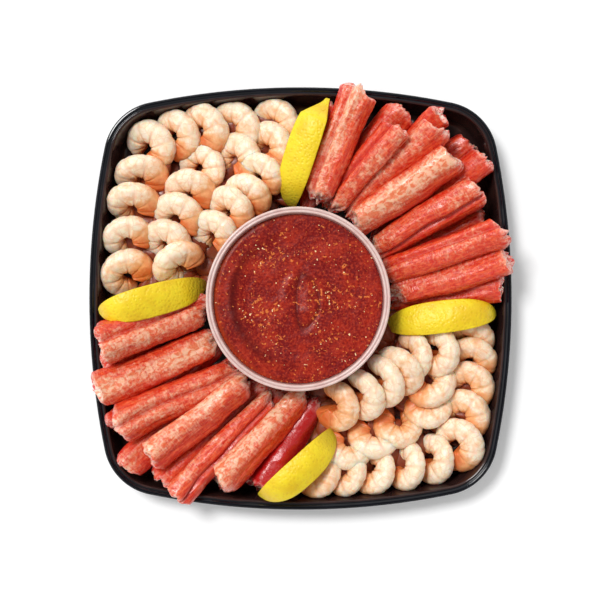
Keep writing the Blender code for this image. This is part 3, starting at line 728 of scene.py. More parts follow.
def shaded_core_look():
    # Painted shade: dark flesh under the rows, standing for the deep shade in the gaps
    look = Look("shaded shrimps below", Roughness=0.6)
    shade = look.fade(look.noise(8 * MM, detail=3, distortion=0.8), 0.35, 0.65)
    body = look.mix(shade, "dark core", "core")
    return look.paint(Base_Color=body, Normal=look.raise_by(shade, 2.0 * MM, 0.8))


def floor_look():
    look = Look("floor", Roughness=0.9, Emission_Color=(1, 1, 1, 1), Emission_Strength=FLOOR_GLOW)
    return look.paint(Base_Color=look.mix(look.fade(look.noise(0.4, detail=1), 0.3, 0.7), *FLOOR_SHADES))


def arc(centre, radius, start, end, steps):
    """Points along a level arc, from its start up to one step before its end."""
    angle = start + (end - start) * np.arange(steps) / steps
    return np.array(centre) + radius * np.stack((np.cos(angle), np.sin(angle)), axis=1)


def tray_outline(inset):
    """Points round the tray, this far inside its outer edge: four shallow side arcs and four corner arcs."""
    reach = TRAY_SIDE_RADIUS - TRAY_SIDE / 2
    between = TRAY_SIDE_RADIUS - TRAY_CORNER_RADIUS
    corner = (math.sqrt(2 * between**2 - reach**2) - reach) / 2
    meeting = math.asin(corner / between)
    corner_radius = max(TRAY_CORNER_RADIUS - inset, TRAY_LEAST_RADIUS)
    side = arc((-reach, 0), TRAY_SIDE_RADIUS - inset, -meeting, meeting, 2 * TRAY_SIDE_STEPS)
    bend = arc((corner, corner), corner_radius, meeting, math.pi / 2 - meeting, TRAY_CORNER_STEPS)
    x, y = np.vstack((side, bend)).T
    return np.vstack([np.column_stack(quarter) for quarter in ((x, y), (-y, x), (-x, -y), (y, -x))])


def tray_reach(inset, bearing):
    """How far out from the middle the tray's outline is at these bearings, this far inside its edge."""
    x, y = tray_outline(inset).T
    return np.interp(bearing, np.arctan2(y, x), np.hypot(x, y), period=2 * math.pi)


def keep_inside(points):
    """Presses what lies lower than the tray's lip in to its wall and up to its floor."""
    insets, heights = np.array(TRAY_WALL).T * MM
    bearing = np.arctan2(points[:, 1], points[:, 0])
    edge = tray_reach(0.0, bearing)
    drawn_in = (edge - tray_reach(insets[0], bearing)) * np.interp(points[:, 2], heights, insets) / insets[0]
    reach = np.hypot(points[:, 0], points[:, 1])
    share = np.where(points[:, 2] < heights[-1], np.minimum(1, (edge - drawn_in - GAP) / reach), 1)
    return np.column_stack((points[:, :2] * share[:, None], np.maximum(points[:, 2], TRAY_FLOOR + GAP)))


def make_tray():
    rings = TRAY_WALL + TRAY_RIM + TRAY_OUTSIDE
    points = []
    for inset, height in rings:
        points += [(x, y, height * MM) for x, y in tray_outline(inset * MM)]
    sides = len(points) // len(rings)
    # The inside mark gives the wall its painted reflection
    inside = np.repeat([ring in TRAY_WALL for ring in rings], sides)
    faces = turned_over(tube_faces(len(rings), sides))
    hand_over(add_mesh("tray_shell", points, faces, tray_look(), {"inside": inside}), "tray")


def cup_wall_radius(height):
    """The outer radius of the cup's body at this height above its base."""
    return CUP_BASE_RADIUS + (CUP_TOP_RADIUS - CUP_BASE_RADIUS) * height / CUP_NECK_HEIGHT


def turned(name, profile, material, marks=None, closed=False):
    """A turned piece from (radius, height) pairs up the inside and down the outside, or all the way round."""
    radius, height = np.repeat(profile, CUP_STEPS, axis=0).T
    angle = np.tile(turn_angles(CUP_STEPS), len(profile))
    points = np.stack((radius * np.cos(angle), radius * np.sin(angle), height), axis=1)
    return add_mesh(name, points, turned_over(tube_faces(len(profile), CUP_STEPS, closed)), material, marks)


def make_cup():
    """The tub in two pieces: its clear body, and its hazier rim with a darker line of painted shade in its
    groove.
    """
    inside = cup_wall_radius(CUP_NECK_HEIGHT) - CUP_WALL
    body_profile = [
        (CUP_CENTRE_HOLE, CUP_WALL),
        (CUP_BASE_RADIUS - CUP_WALL - CUP_FOOT, CUP_WALL),
        (cup_wall_radius(CUP_FOOT) - CUP_WALL, CUP_FOOT),
        (inside, CUP_NECK_HEIGHT),
        (CUP_TOP_RADIUS, CUP_NECK_HEIGHT),
        (cup_wall_radius(CUP_FOOT), CUP_FOOT),
        (CUP_BASE_RADIUS - CUP_FOOT, 0),
        (CUP_CENTRE_HOLE, 0),
    ]
    body = turned("cup_body", body_profile, cup_look("clear plastic", 0.0))
    rim = [(CUP_RIM_RADIUS - inset * MM, CUP_HEIGHT - below * MM) for inset, below in CUP_RIM]
    profile = [(inside, CUP_NECK_HEIGHT), *rim, (CUP_TOP_RADIUS, CUP_NECK_HEIGHT)]
    insets = np.array([(CUP_RIM_RADIUS - radius) / MM for radius, _ in profile])
    # The line mark is painted shade along the rim's groove
    line = np.repeat(bump(insets, CUP_GROOVE_SHADE, CUP_GROOVE_SHADE_WIDTH), CUP_STEPS)
    collar = turned("cup_rim", profile, cup_look("hazy plastic", CUP_RIM_HAZE), {"line": line}, closed=True)
    for piece in (body, collar):
        piece.location = CUP_CENTRE
        hand_over(piece, "sauce_cup")


def from_middle(x, y):
    """(how far out these points of the sauce are, as a share of the cup's radius, and their bearing)."""
    return np.hypot(x, y) / CUP_TOP_RADIUS, np.degrees(np.arctan2(y, x)) % 360


def sauce_relief(x, y):
    """How far the sauce stands up: an arc pushed up along the lower left, and a hook in the middle."""
    radius, bearing = from_middle(x, y)
    arc = bump(radius, SAUCE_ARC_RADIUS, SAUCE_ARC_WIDTH)
    hollow = bump(radius, SAUCE_HOLLOW_RADIUS, SAUCE_ARC_WIDTH)
    swept = bump(bearing, *SAUCE_ARC_BEARING) * (arc - SAUCE_HOLLOW_SHARE * hollow)
    from_hook = np.hypot(x - SAUCE_HOOK_CENTRE[0], y - SAUCE_HOOK_CENTRE[1])
    hook = bump(from_hook, SAUCE_HOOK_RADIUS, SAUCE_HOOK_WIDTH)
    return SAUCE_RIDGE_HEIGHT * (swept + SAUCE_HOOK_SHARE * hook)


def mound_distance(x, y):
    """How far out each point is from the middle of the long mound in the sauce, 1 at its foot."""
    across = (x - SAUCE_MOUND_CENTRE[0]) / SAUCE_MOUND_SIZE[0]
    down = (y - SAUCE_MOUND_CENTRE[1]) / SAUCE_MOUND_SIZE[1]
    return np.hypot(across + SAUCE_MOUND_BEND * down**2, down)


def sauce_swirls(x, y):
    """Finer spoon marks: a step down along the left, a long mound with a groove round it, and small waves."""
    radius, bearing = from_middle(x, y)
    step = 1 / (1 + np.exp((SAUCE_STEP_RADIUS - radius) / SAUCE_STEP_WIDTH))
    relief = SAUCE_STEP_HEIGHT * step * bump(bearing, *SAUCE_STEP_BEARING)
    from_mound = mound_distance(x, y)
    groove = SAUCE_GROOVE_SHARE * bump(from_mound, SAUCE_GROOVE_RADIUS, SAUCE_GROOVE_WIDTH)
    relief += SAUCE_MOUND_HEIGHT * (bump(from_mound, 0, SAUCE_MOUND_WIDTH) - groove)
    flat = np.stack((x, y, np.zeros_like(x)), axis=1)
    for height, size, seed in SAUCE_WAVES:
        relief += height * MM * lumps(flat, (size, size, 1000), seed)
    return relief


def sauce_marks(x, y, share, angle):
    """Where the look shows flecks, dark bands of painted shade and a bright edge of painted light, at this
    share of the radius.
    """
    # Painted shade in the dark band and round the groove, and painted light at the bright left edge
    leftward = bump(np.degrees(angle), *SAUCE_STEP_BEARING)
    groove = SAUCE_GROOVE_SHADE_SHARE * bump(mound_distance(x, y), *SAUCE_GROOVE_SHADE)
    return {
        "flecks": SAUCE_FEWEST_FLECKS + (1 - SAUCE_FEWEST_FLECKS) * bump(share, *SAUCE_FLECKS),
        "shade_band": np.maximum(bump(share, *SAUCE_SHADE_BAND) * leftward, groove),
        "edge": bump(share, *SAUCE_LIT_EDGE) * leftward,
    }


def make_sauce():
    foot = CUP_FOOT + GAP
    wall = CUP_WALL - SAUCE_BITE
    top = cup_wall_radius(SAUCE_LEVEL) - wall
    rings = [(CUP_BASE_RADIUS - wall - CUP_FOOT, wall), (cup_wall_radius(foot) - wall, foot)]
    rings += [(top * (1 - ring / SAUCE_RINGS), SAUCE_LEVEL) for ring in range(SAUCE_RINGS)]
    radius, height = np.repeat(rings, SAUCE_SPOKES, axis=0).T
    angle = np.tile(turn_angles(SAUCE_SPOKES), len(rings))
    x = radius * np.cos(angle)
    y = radius * np.sin(angle)
    open_part = ramp(radius, top, top - SAUCE_EDGE) * (height == SAUCE_LEVEL)
    relief = sauce_relief(x, y) + sauce_swirls(x, y)
    points = np.stack((x, y, height + open_part * relief), axis=1)
    marks = sauce_marks(x, y, radius / top, angle)
    sauce = add_mesh("sauce_swirled", points, tube_faces(len(rings), SAUCE_SPOKES), sauce_look(), marks)
    sauce.location = CUP_CENTRE
    hand_over(sauce, "cocktail_sauce")


def stick_rings(node):
    """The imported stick's rings: each one's middle, and how far its corners lie from it and at which angle.

    The angles turn from the stick's side, seen along it from its inner end, over its top.
    """
    points = node_points(node)
    middle = points[:, :2].mean(axis=0)
    line = np.linalg.svd(points[:, :2] - middle)[2][0]
    if line @ middle < 0:
        line = -line
    for _ in range(2):
        along = points[:, :2] @ line
        order = np.argsort(along)
        breaks = np.nonzero(np.diff(along[order]) > STICK_RING_APART)[0] + 1
        groups = np.split(order, breaks)
        ends = [points[groups[end]].mean(axis=0)[:2] for end in (0, -1)]
        line = (ends[1] - ends[0]) / np.linalg.norm(ends[1] - ends[0])
    across = np.array((-line[1], line[0]))
    rings = []
    for group in groups:
        ring = points[group]
        centre = ring.mean(axis=0)
        sideways = (ring[:, :2] - centre[:2]) @ across
        upward = ring[:, 2] - centre[2]
        rings.append((centre, np.arctan2(upward, sideways), np.hypot(sideways, upward)))
    return line, across, rings


def smooth_round(values, times):
    """Evens out the values round each ring, and a little along the rings."""
    for _ in range(times):
        values = (np.roll(values, 1, axis=1) + 2 * values + np.roll(values, -1, axis=1)) / 4
        padded = np.vstack((values[:1], values, values[-1:]))
        values = (padded[:-2] + 2 * padded[1:-1] + padded[2:]) / 4
    return values


def find_fold(rings):
    """(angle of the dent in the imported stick's rings, or None, and the rings without it)."""
    dents = []
    evened = []
    for centre, angles, radii in rings:
        order = np.argsort(angles)
        angles = angles[order]
        radii = radii[order]
        beside = (np.roll(radii, 1) + np.roll(radii, -1)) / 2
        deepest = int(np.argmin(radii / beside))
        if radii[deepest] / beside[deepest] < STICK_DENT:
            dents.append(angles[deepest])
            radii[deepest] = beside[deepest]
        evened.append((centre, angles, radii))
    if len(dents) < STICK_LEAST_DENTS:
        return None, evened
    return math.atan2(np.sin(dents).mean(), np.cos(dents).mean()), evened


def fine_rings(rings, line, across, fullness):
    """The stick's rings, closer together: how far along, how wide, how far aside and how high each is."""
    offsets = np.array([centre - rings[0][0] for centre, _, _ in rings])
    at = offsets[:, :2] @ line
    along = at[-1] * np.linspace(0, 1, STICK_RINGS)
    angles = turn_angles(STICK_SIDES)
    coarse = np.array([np.interp(angles, found, radii, period=2 * math.pi) for _, found, radii in rings])
    radius = np.stack([np.interp(along, at, side) for side in coarse.T], axis=1)
    ends = (1 - np.sin(math.pi * along / at[-1])) ** 2
    radius = fullness * (1 + STICK_END_FULLNESS * ends[:, None]) * smooth_round(radius, STICK_SMOOTHING)
    return along, radius, np.interp(along, at, offsets[:, :2] @ across), np.interp(along, at, offsets[:, 2])


def stick_layout():
    """For each point of a stick, how far out it is of its ring, and the ring: first cap, body, last cap."""
    rings = [(share, 0) for share in reversed(STICK_CAP)]
    rings += [(1.0, ring) for ring in range(STICK_RINGS)]
    rings += [(share, STICK_RINGS - 1) for share in STICK_CAP]
    factor, ring = zip(*rings)
    return np.repeat(factor, STICK_SIDES), np.repeat(ring, STICK_SIDES)


class Stick:
    """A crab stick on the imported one's rings: fibres, wrinkles, a fold and torn ends.

    Its rim is where its points would be if it were straight and smooth, and ran along X.
    """

    def __init__(self, node, layer, film, seed):
        """The layer is 0 for the lower sticks and 1 for the upper ones. The film is its (paleness, side)."""
        self.name = node.name
        self.seed = seed
        self.film, self.film_side = film
        self.painted_shade = STICK_DARKEST_SHADE.get(self.name, STICK_LAYER_SHADE[layer])
        self.line, self.across, rings = stick_rings(node)
        self.start = rings[0][0]
        self.fold, rings = find_fold(rings)
        fullness = STICK_FULLEST.get(self.name, STICK_FULLNESS[layer])
        along, radius, aside, height = fine_rings(rings, self.line, self.across, fullness)
        self.factor, ring = stick_layout()
        self.rings = len(ring) // STICK_SIDES
        side = np.tile(np.arange(STICK_SIDES), self.rings)
        self.angle = turn_angles(STICK_SIDES)[side]
        self.radius = radius[ring, side]
        self.aside = aside[ring]
        self.height = height[ring]
        self.rim = np.stack((along[ring], *self.around(self.radius)), axis=1)
        from_end = np.minimum(along[ring], along[-1] - along[ring])
        self.near_end = ramp(from_end, STICK_FRAY, 0)
        self.rounding = rounded_end(from_end, STICK_ROUNDING, 2)
        self.at_start = along[ring] < along[-1] / 2
        self.pulled_back = np.where(self.at_start, *STICK_PULLED_BACK[layer])

    def around(self, reach):
        """How far across and up the points lie that reach this far out."""
        return reach * np.cos(self.angle), reach * np.sin(self.angle)

    def lumps(self, kind, points):
        strength, sizes, offset = STICK_LUMPS[kind]
        return strength * lumps(points, sizes, self.seed + offset)

    def swell(self):
        """(how much the stick swells or shrinks at each point, how deep it is in the fold)."""
        shape = 1.0 + self.lumps("bulges", self.rim)
        if self.fold is None:
            return shape, np.zeros_like(shape)
        away = apart(self.angle, self.fold + self.lumps("wander", self.rim * (1, 0, 0)))
        in_fold = bump(away, 0, FOLD_WIDTH)
        return shape * (1 - FOLD_DEPTH * in_fold + FOLD_LIP_HEIGHT * bump(abs(away), *FOLD_LIPS)), in_fold

    def wrinkles(self):
        """Bundles of fibres along the stick, and slanted wrinkles, higher where the film is thick."""
        slanted = self.rim + np.outer(STICK_WRINKLE_SLANT * self.rim[:, 1], (1, 0, 0))
        least, more = STICK_WRINKLES
        across = (least + more * self.film) * self.lumps("slanted", slanted)
        return MM * (self.lumps("bundles", self.rim) + self.lumps("fibres", self.rim) + across)

    def tear(self):
        """How far the torn end sticks out at each point: slanted as a whole, with lobes and teeth."""
        draw = random.Random(self.seed)
        slants = [(draw.uniform(*STICK_SLANTS), draw.uniform(0, 2 * math.pi)) for _ in range(2)]
        slant, towards = (np.where(self.at_start, *pair) for pair in zip(*slants))
        end = np.column_stack((np.where(self.at_start, 0.0, STICK_ENDS_APART), self.rim[:, 1:]))
        rough = self.lumps("lobes", end) + self.lumps("teeth", end)
        return slant * np.cos(self.angle - towards) + MM * rough

    def surface(self, shape):
        """The stick's points, along its line, across it and up, where it swells to this shape."""
        frayed = self.near_end**2
        reach = (self.radius * shape + self.wrinkles()) * self.factor
        reach *= 1 + frayed * self.lumps("frayed", self.rim)
        reach *= STICK_BLUNTNESS + (1 - STICK_BLUNTNESS) * self.rounding
        across, upward = self.around(reach)
        hollow = self.lumps("hollow", np.stack((0 * reach, across, upward), axis=1)) * MM
        outward = np.where(self.at_start, -1.0, 1.0)
        along = self.rim[:, 0] + outward * frayed * (self.tear() * self.factor - self.pulled_back)
        along += (1 - self.factor) * hollow
        return np.stack((along, self.aside + across, self.height + upward), axis=1)

    def marks(self, in_fold):
        """What the look reads: how thick the film is, partly painted light, how torn the stick is, and how much
        painted shade it gets on its sides, underside and fold and where it lies in shade.
        """
        # The film lies on the side towards the key: partly painted light
        film_angle = math.pi / 2 - math.radians(self.film_side) * math.copysign(1, self.across[1])
        film = self.film * bump(apart(self.angle, film_angle), 0, FILM_WIDTH)
        # Painted shade, stronger away from the top, in the fold and on sticks lying in shade
        low = np.clip(SHADE_FROM - SHADE_SLOPE * np.sin(self.angle) + self.painted_shade, 0, 1)
        torn = np.clip(TORN_SLOPE * self.near_end - TORN_FROM, 0, 1)
        return {
            "film": film + FILM_AT_ENDS * self.near_end + self.lumps("patches", self.rim),
            "torn": torn + TORN_INSIDE * (self.factor < STICK_CAP[0]),
            "low": low + SHADE_IN_FOLD * in_fold + SHADE_OF_LAYER * self.painted_shade,
        }

    def make(self, material):
        shape, in_fold = self.swell()
        place = Matrix((
            (self.line[0], self.across[0], 0, self.start[0]),
            (self.line[1], self.across[1], 0, self.start[1]),
            (0, 0, 1, self.start[2]),
            (0, 0, 0, 1),
        ))
        points = moved(keep_inside(moved(self.surface(shape), place)), place.inverted())
        name = self.name.replace("crab_stick", "stick")
        piece = add_mesh(name, points, tube_faces(self.rings, STICK_SIDES), material, self.marks(in_fold))
        piece.matrix_world = place
        hand_over(piece, self.name)


def make_sticks(nodes):
    material = stick_look()
    for group, films in STICK_FILMS.items():
        for number, film in enumerate(films, start=1):
            layer = number > STICK_LOWER_COUNTS[group]
            seed = 100 * len(group) + 7 * number
            Stick(nodes[f"{group}_{number:02d}"], layer, film, seed).make(material)


def lemon_rings(length, lean):
    """A wedge along X, rind up: each ring is an arc of rind, then one cut face in and the other out."""
    upward = math.pi / 2 + lean
    turns = np.linspace(-LEMON_ANGLE / 2, LEMON_ANGLE / 2, LEMON_RIND_STEPS + 1)
    arc = [(upward + turn, 1.0) for turn in turns]
    inward = [1 + (LEMON_CORE_SHARE - 1) * step / LEMON_CUT_STEPS for step in range(1, LEMON_CUT_STEPS)]
    first_face = [(upward + LEMON_ANGLE / 2, share) for share in inward]
    second_face = [(upward - LEMON_ANGLE / 2, share) for share in reversed(inward)]
    ring = [*arc, *first_face, (upward, LEMON_CORE_SHARE), *second_face]
    angle, share = np.tile(ring, (LEMON_RINGS, 1)).T
    along = np.repeat(np.linspace(-1, 1, LEMON_RINGS), len(ring))
    radius = LEMON_RADIUS * share * np.maximum(LEMON_NUB_SHARE, np.sqrt(1 - np.abs(along) ** LEMON_BLUNTNESS))
    return np.stack((along * length / 2, radius * np.cos(angle), radius * np.sin(angle)), axis=1), 1 - share


def lemon_lift(node, start, end):
    """(height, rise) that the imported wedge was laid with, from its lowest and highest corners at each end."""
    points = node_points(node)
    line = end - start
    share = (points[:, :2] - start) @ line / (line @ line) - 0.5
    ends = [points[share < share.min() + LEMON_END_SHARE], points[share > share.max() - LEMON_END_SHARE]]
    heights = [(end_points[:, 2].min() + end_points[:, 2].max()) / 2 for end_points in ends]
    return (heights[0] + heights[1]) / 2, heights[1] - heights[0]


def make_lemon(node, row, material, seed):
    """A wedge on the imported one, with a bumpy rind, a step to the pith and green tips."""
    start = np.array(row[:2]) * MM
    end = np.array(row[2:4]) * MM
    lean = math.radians(row[4])
    length = float(np.hypot(*(end - start)))
    points, depth = lemon_rings(length, lean)
    share = points[:, 0] / length
    swell = LEMON_SWELL * lumps(points, LEMON_SWELL_SIZES, seed)
    swell -= LEMON_PITH_STEP * (depth > LEMON_PITH_DEPTH)
    grow = 1 + swell * (depth < LEMON_SWELL_DEPTH) / np.hypot(points[:, 1], points[:, 2])
    narrowed = ramp(share, *LEMON_NIPPLE) * ramp(share, *LEMON_NIPPLE_END)
    grow *= 1 - LEMON_NIPPLE_TAPERS.get(node.name, 0.0) * narrowed
    points[:, 1:] *= grow[:, None]
    height, rise = lemon_lift(node, start, end)
    tip_middle = LEMON_RADIUS * LEMON_NUB_SHARE * math.cos(lean) * (1 + LEMON_CORE_SHARE) / 2
    points[:, 2] += height - tip_middle + rise * share
    tip = ramp(share, *LEMON_GREEN_INNER) + LEMON_GREEN_OUTER_SHARE * ramp(share, *LEMON_GREEN_OUTER)
    faces = tube_faces(LEMON_RINGS, LEMON_RIND_STEPS + 2 * LEMON_CUT_STEPS)
    name = node.name.replace("lemon_wedge", "wedge")
    piece = add_mesh(name, points, faces, material, {"depth": depth, "tip": tip})
    bearing = math.atan2(end[1] - start[1], end[0] - start[0])
    piece.matrix_world = Matrix.Translation((*(start + end) / 2, 0)) @ Matrix.Rotation(bearing, 4, "Z")
    hand_over(piece, node.name)


def make_lemons(nodes):
    material = lemon_look()
    for seed, (name, row) in enumerate(LEMON_WEDGES.items()):
        make_lemon(nodes[name], row, material, seed)


def scan(points, faces):
    """The piece seen from above: where its window starts on the grid, and its lowest and highest there."""
    first = np.floor((points[:, :2].min(axis=0) + GRID_HALF) / GRID_STEP).astype(int) - 1
    last = np.ceil((points[:, :2].max(axis=0) + GRID_HALF) / GRID_STEP).astype(int) + 2
    low = np.full(tuple(last - first), np.inf)
    high = np.full(tuple(last - first), EMPTY)
    start = first * GRID_STEP - GRID_HALF
    for face in faces:
        a, b, c = points[list(face)]
        twice = (b[0] - a[0]) * (c[1] - a[1]) - (c[0] - a[0]) * (b[1] - a[1])
        if abs(twice) < GRID_LEAST_AREA:
            continue
        corners = np.array((a, b, c))[:, :2]
        i0, j0 = ((corners.min(axis=0) - start) / GRID_STEP).astype(int)
        i1, j1 = ((corners.max(axis=0) - start) / GRID_STEP).astype(int) + 2
        x = (start[0] + np.arange(i0, i1) * GRID_STEP)[:, None] - a[0]
        y = (start[1] + np.arange(j0, j1) * GRID_STEP)[None, :] - a[1]
        u = (x * (c[1] - a[1]) - (c[0] - a[0]) * y) / twice
        v = ((b[0] - a[0]) * y - x * (b[1] - a[1])) / twice
        inside = (u > -GRID_MARGIN) & (v > -GRID_MARGIN) & (u + v < 1 + GRID_MARGIN)
        height = a[2] + u * (b[2] - a[2]) + v * (c[2] - a[2])
        window = (slice(i0, i1), slice(j0, j1))
        np.minimum(low[window], height, out=low[window], where=inside)
        np.maximum(high[window], height, out=high[window], where=inside)
    return first, low, high


def spread(values):
    """Each cell takes the highest of itself and the eight round it."""
    rows = np.maximum(np.maximum(values, np.roll(values, 1, axis=0)), np.roll(values, -1, axis=0))
    return np.maximum(np.maximum(rows, np.roll(rows, 1, axis=1)), np.roll(rows, -1, axis=1))


class Ground:
    """The height of what already lies in the tray, over a square grid."""

    def __init__(self, nodes):
        count = int(2 * GRID_HALF / GRID_STEP) + 1
        self.top = np.full((count, count), EMPTY)
        for node in nodes:
            self.add(node)

    def add(self, node):
        node.data.calc_loop_triangles()
        points = np.array([tuple(vertex.co) for vertex in node.data.vertices])
        (i, j), _, high = scan(points, [tuple(face.vertices) for face in node.data.loop_triangles])
        rows, columns = high.shape
        window = self.top[i : i + rows, j : j + columns]
        np.maximum(window, high, out=window)

    def needed_lift(self, points, faces):
        """How far the piece must go up to lie clear of the ground."""
        (i, j), low, _ = scan(points, faces)
        rows, columns = low.shape
        window = spread(self.top[i : i + rows, j : j + columns])
        under = np.isfinite(low)
        return float((window[under] + GAP - low[under]).max())


def shrimp_tube(size, rings, sides):
    """The points of a plain curled shrimp in the XY plane, opening to +X, head first, as it is packed."""
    points = []
    for share in np.linspace(0, 1, rings):
        thickness = SHRIMP_HEAD + (SHRIMP_TAIL - SHRIMP_HEAD) * share
        reach = thickness / 2 * min(1.0, SHRIMP_END_SHARE + SHRIMP_END_GROWTH * min(share, 1 - share))
        turn = math.pi + SHRIMP_SWEEP * (share - 0.5)
        for angle in turn_angles(sides):
            out = SHRIMP_SIZE / 2 - thickness / 2 + reach * math.cos(angle)
            height = SHRIMP_FLATNESS * reach * math.sin(angle)
            points.append((out * math.cos(turn), out * math.sin(turn), height))
    return np.array(points) * size


def row_poses(row, swing, lean, outward_rise):
    """(centre, raised side, tilt, bearing of the opening) for each shrimp of a row, first laid first."""
    for index, (x, y) in enumerate(row):
        before = Vector(row[max(0, index - 1)])
        after = Vector(row[max(1, index)])
        ahead = after - before
        step = min(SHRIMP_STEEPEST, SHRIMP_HEAD * SHRIMP_FLATNESS / (ahead.length * MM))
        raised = Vector((x, y)).normalized() * outward_rise - ahead.normalized() * step * lean
        opening = math.atan2(ahead.y, ahead.x) + math.radians(swing)
        yield Vector((x * MM, y * MM, 0)), raised.normalized(), math.asin(raised.length), opening


def settle_shrimp(pose, level, tray_ground, ground, draw):
    """(size, matrix) of one shrimp, tilted as its row is, drawn in off the wall and let down to its level."""
    centre, raised, tilt, opening = pose
    size = draw.uniform(*SHRIMP_SIZES)
    opening += draw.uniform(-SHRIMP_OPENING_SPREAD, SHRIMP_OPENING_SPREAD)
    turn = Matrix.Rotation(-tilt, 4, Vector((-raised.y, raised.x, 0))) @ Matrix.Rotation(opening, 4, "Z")
    faces = triangles(tube_faces(*SHRIMP_COARSE))
    points = moved(shrimp_tube(size, *SHRIMP_COARSE), Matrix.Translation(centre) @ turn)
    level += TRAY_FLOOR + GAP - points[:, 2].min()
    inwards = -centre.normalized() * SHRIMP_NUDGE
    nudges = 0
    while tray_ground.needed_lift(points, faces) > level + SHRIMP_WALL_LIFT and nudges < SHRIMP_MOST_NUDGES:
        points += np.array(inwards)
        nudges += 1
    lift = max(level, ground.needed_lift(points, faces))
    return size, Matrix.Translation(centre + inwards * nudges + Vector((0, 0, lift))) @ turn


def shrimp_creases(share, draw):
    """How deep each point lies in one of the creases between the shrimp's segments."""
    creases = []
    for place in SHRIMP_CREASES:
        place += draw.uniform(-SHRIMP_CREASE_SPREAD, SHRIMP_CREASE_SPREAD)
        creases.append(bump(share, place, SHRIMP_CREASE_WIDTH))
    return np.max(creases, axis=0)


def shrimp_slit(share, angle, draw):
    """How deep each point lies in the slit along the shrimp's back."""
    middle = draw.uniform(*SHRIMP_SLIT) + SHRIMP_SLIT_WANDER * np.sin(SHRIMP_SLIT_WAVES * share)
    return bump(angle, middle, SHRIMP_SLIT_WIDTH) * bump(share, *SHRIMP_SLIT_PART) * draw.uniform(0, 1)


def shrimp_radius(thickness, share, angle, crease, slit, seed):
    """The radius of each ring at each point: lumpy, creased and slit, with a blunt head and tail."""
    inner = (1 - np.cos(angle)) / 2
    local = np.stack((share * SHRIMP_LENGTH, thickness * np.cos(angle), thickness * np.sin(angle)), axis=1)
    bulge, bulge_sizes = SHRIMP_BULGES
    lump, lump_sizes = SHRIMP_LUMPS
    outer_depth, inner_depth = SHRIMP_CREASE_DEPTHS
    radius = thickness / 2 * (1 + bulge * lumps(local, bulge_sizes, seed))
    radius -= crease * (outer_depth + inner_depth * inner) + SHRIMP_SLIT_DEPTH * slit
    radius += lump * lumps(local, lump_sizes, seed + 1) * (SHRIMP_LUMPS_OUTSIDE + inner)
    ends = rounded_end(share, *SHRIMP_HEAD_END) * rounded_end(1 - share, *SHRIMP_TAIL_END)
    return radius * np.maximum(SHRIMP_LEAST_END, ends) * (1 + SHRIMP_SQUARENESS * np.sin(2 * angle) ** 2)


def shrimp_marks(share, angle, crease, slit, tone_and_shade):
    """What the look reads: creases and slit, and how orange the head, the inner side and the tail are: the
    inner side painted shade, the head and tail partly their own orange and partly painted shade.
    """
    inner = (1 - np.cos(angle)) / 2
    outside = SHRIMP_CREASE_OUTSIDE
    # Head and tail partly their own orange, partly painted shade; the inner side painted shade
    head = ramp(share, SHRIMP_WARM_HEAD, 0) ** SHRIMP_WARM_CURVE
    tail = SHRIMP_WARM_TAIL * bump(share, 1, SHRIMP_WARM_TAIL_WIDTH)
    return {
        "crease": np.maximum(crease * (outside + (1 - outside) * inner), SHRIMP_SLIT_SHADE * slit),
        "warm": tone_and_shade + head + SHRIMP_INSIDE_SHADE * inner**2 + tail,
    }


def shrimp_points(size, matrix, fineness, tone_and_shade, seed, draw):
    """(points, marks) of one plump shrimp: its segments, creases, blunt ends, slit back and orange head."""
    sweep = SHRIMP_SWEEP + math.radians(draw.uniform(*SHRIMP_CURL))
    rings, sides = fineness
    share = np.repeat(np.linspace(0, 1, rings), sides)
    angle = np.tile(turn_angles(sides), rings)
    turn = math.pi + sweep * (share - 0.5)
    thickness = (SHRIMP_HEAD + (SHRIMP_TAIL - SHRIMP_HEAD) * share) * size
    middle = (SHRIMP_SIZE * size - thickness) / 2
    thickness *= draw.uniform(*SHRIMP_PLUMPNESS)
    crease = shrimp_creases(share, draw)
    slit = shrimp_slit(share, angle, draw)
    radius = shrimp_radius(thickness, share, angle, crease, slit, seed)
    out = np.maximum(middle + radius * np.cos(angle), SHRIMP_LEAST_HOLE)
    height = SHRIMP_FLATNESS * radius * np.sin(angle) + draw.uniform(*SHRIMP_TUCK) * (0.5 - share)
    points = np.stack((out * np.cos(turn), out * np.sin(turn), height), axis=1)
    return keep_inside(moved(points, matrix)), shrimp_marks(share, angle, crease, slit, tone_and_shade)


def make_core(name, rows):
    """The flesh of the shrimps underneath, painted dark as shade and seen only through gaps: a low block under
    the rows.
    """
    outline = np.array([*rows[0][0], *reversed(rows[-1][0])]) * MM
    beside = np.roll(outline, -1, axis=0)
    if (outline[:, 0] * beside[:, 1] - outline[:, 1] * beside[:, 0]).sum() < 0:
        outline = outline[::-1]
    points = [(*place, height) for height in (TRAY_FLOOR + GAP, CORE_TOP) for place in outline]
    return add_mesh(f"{name}_core", points, tube_faces(2, len(outline)), shaded_core_look())


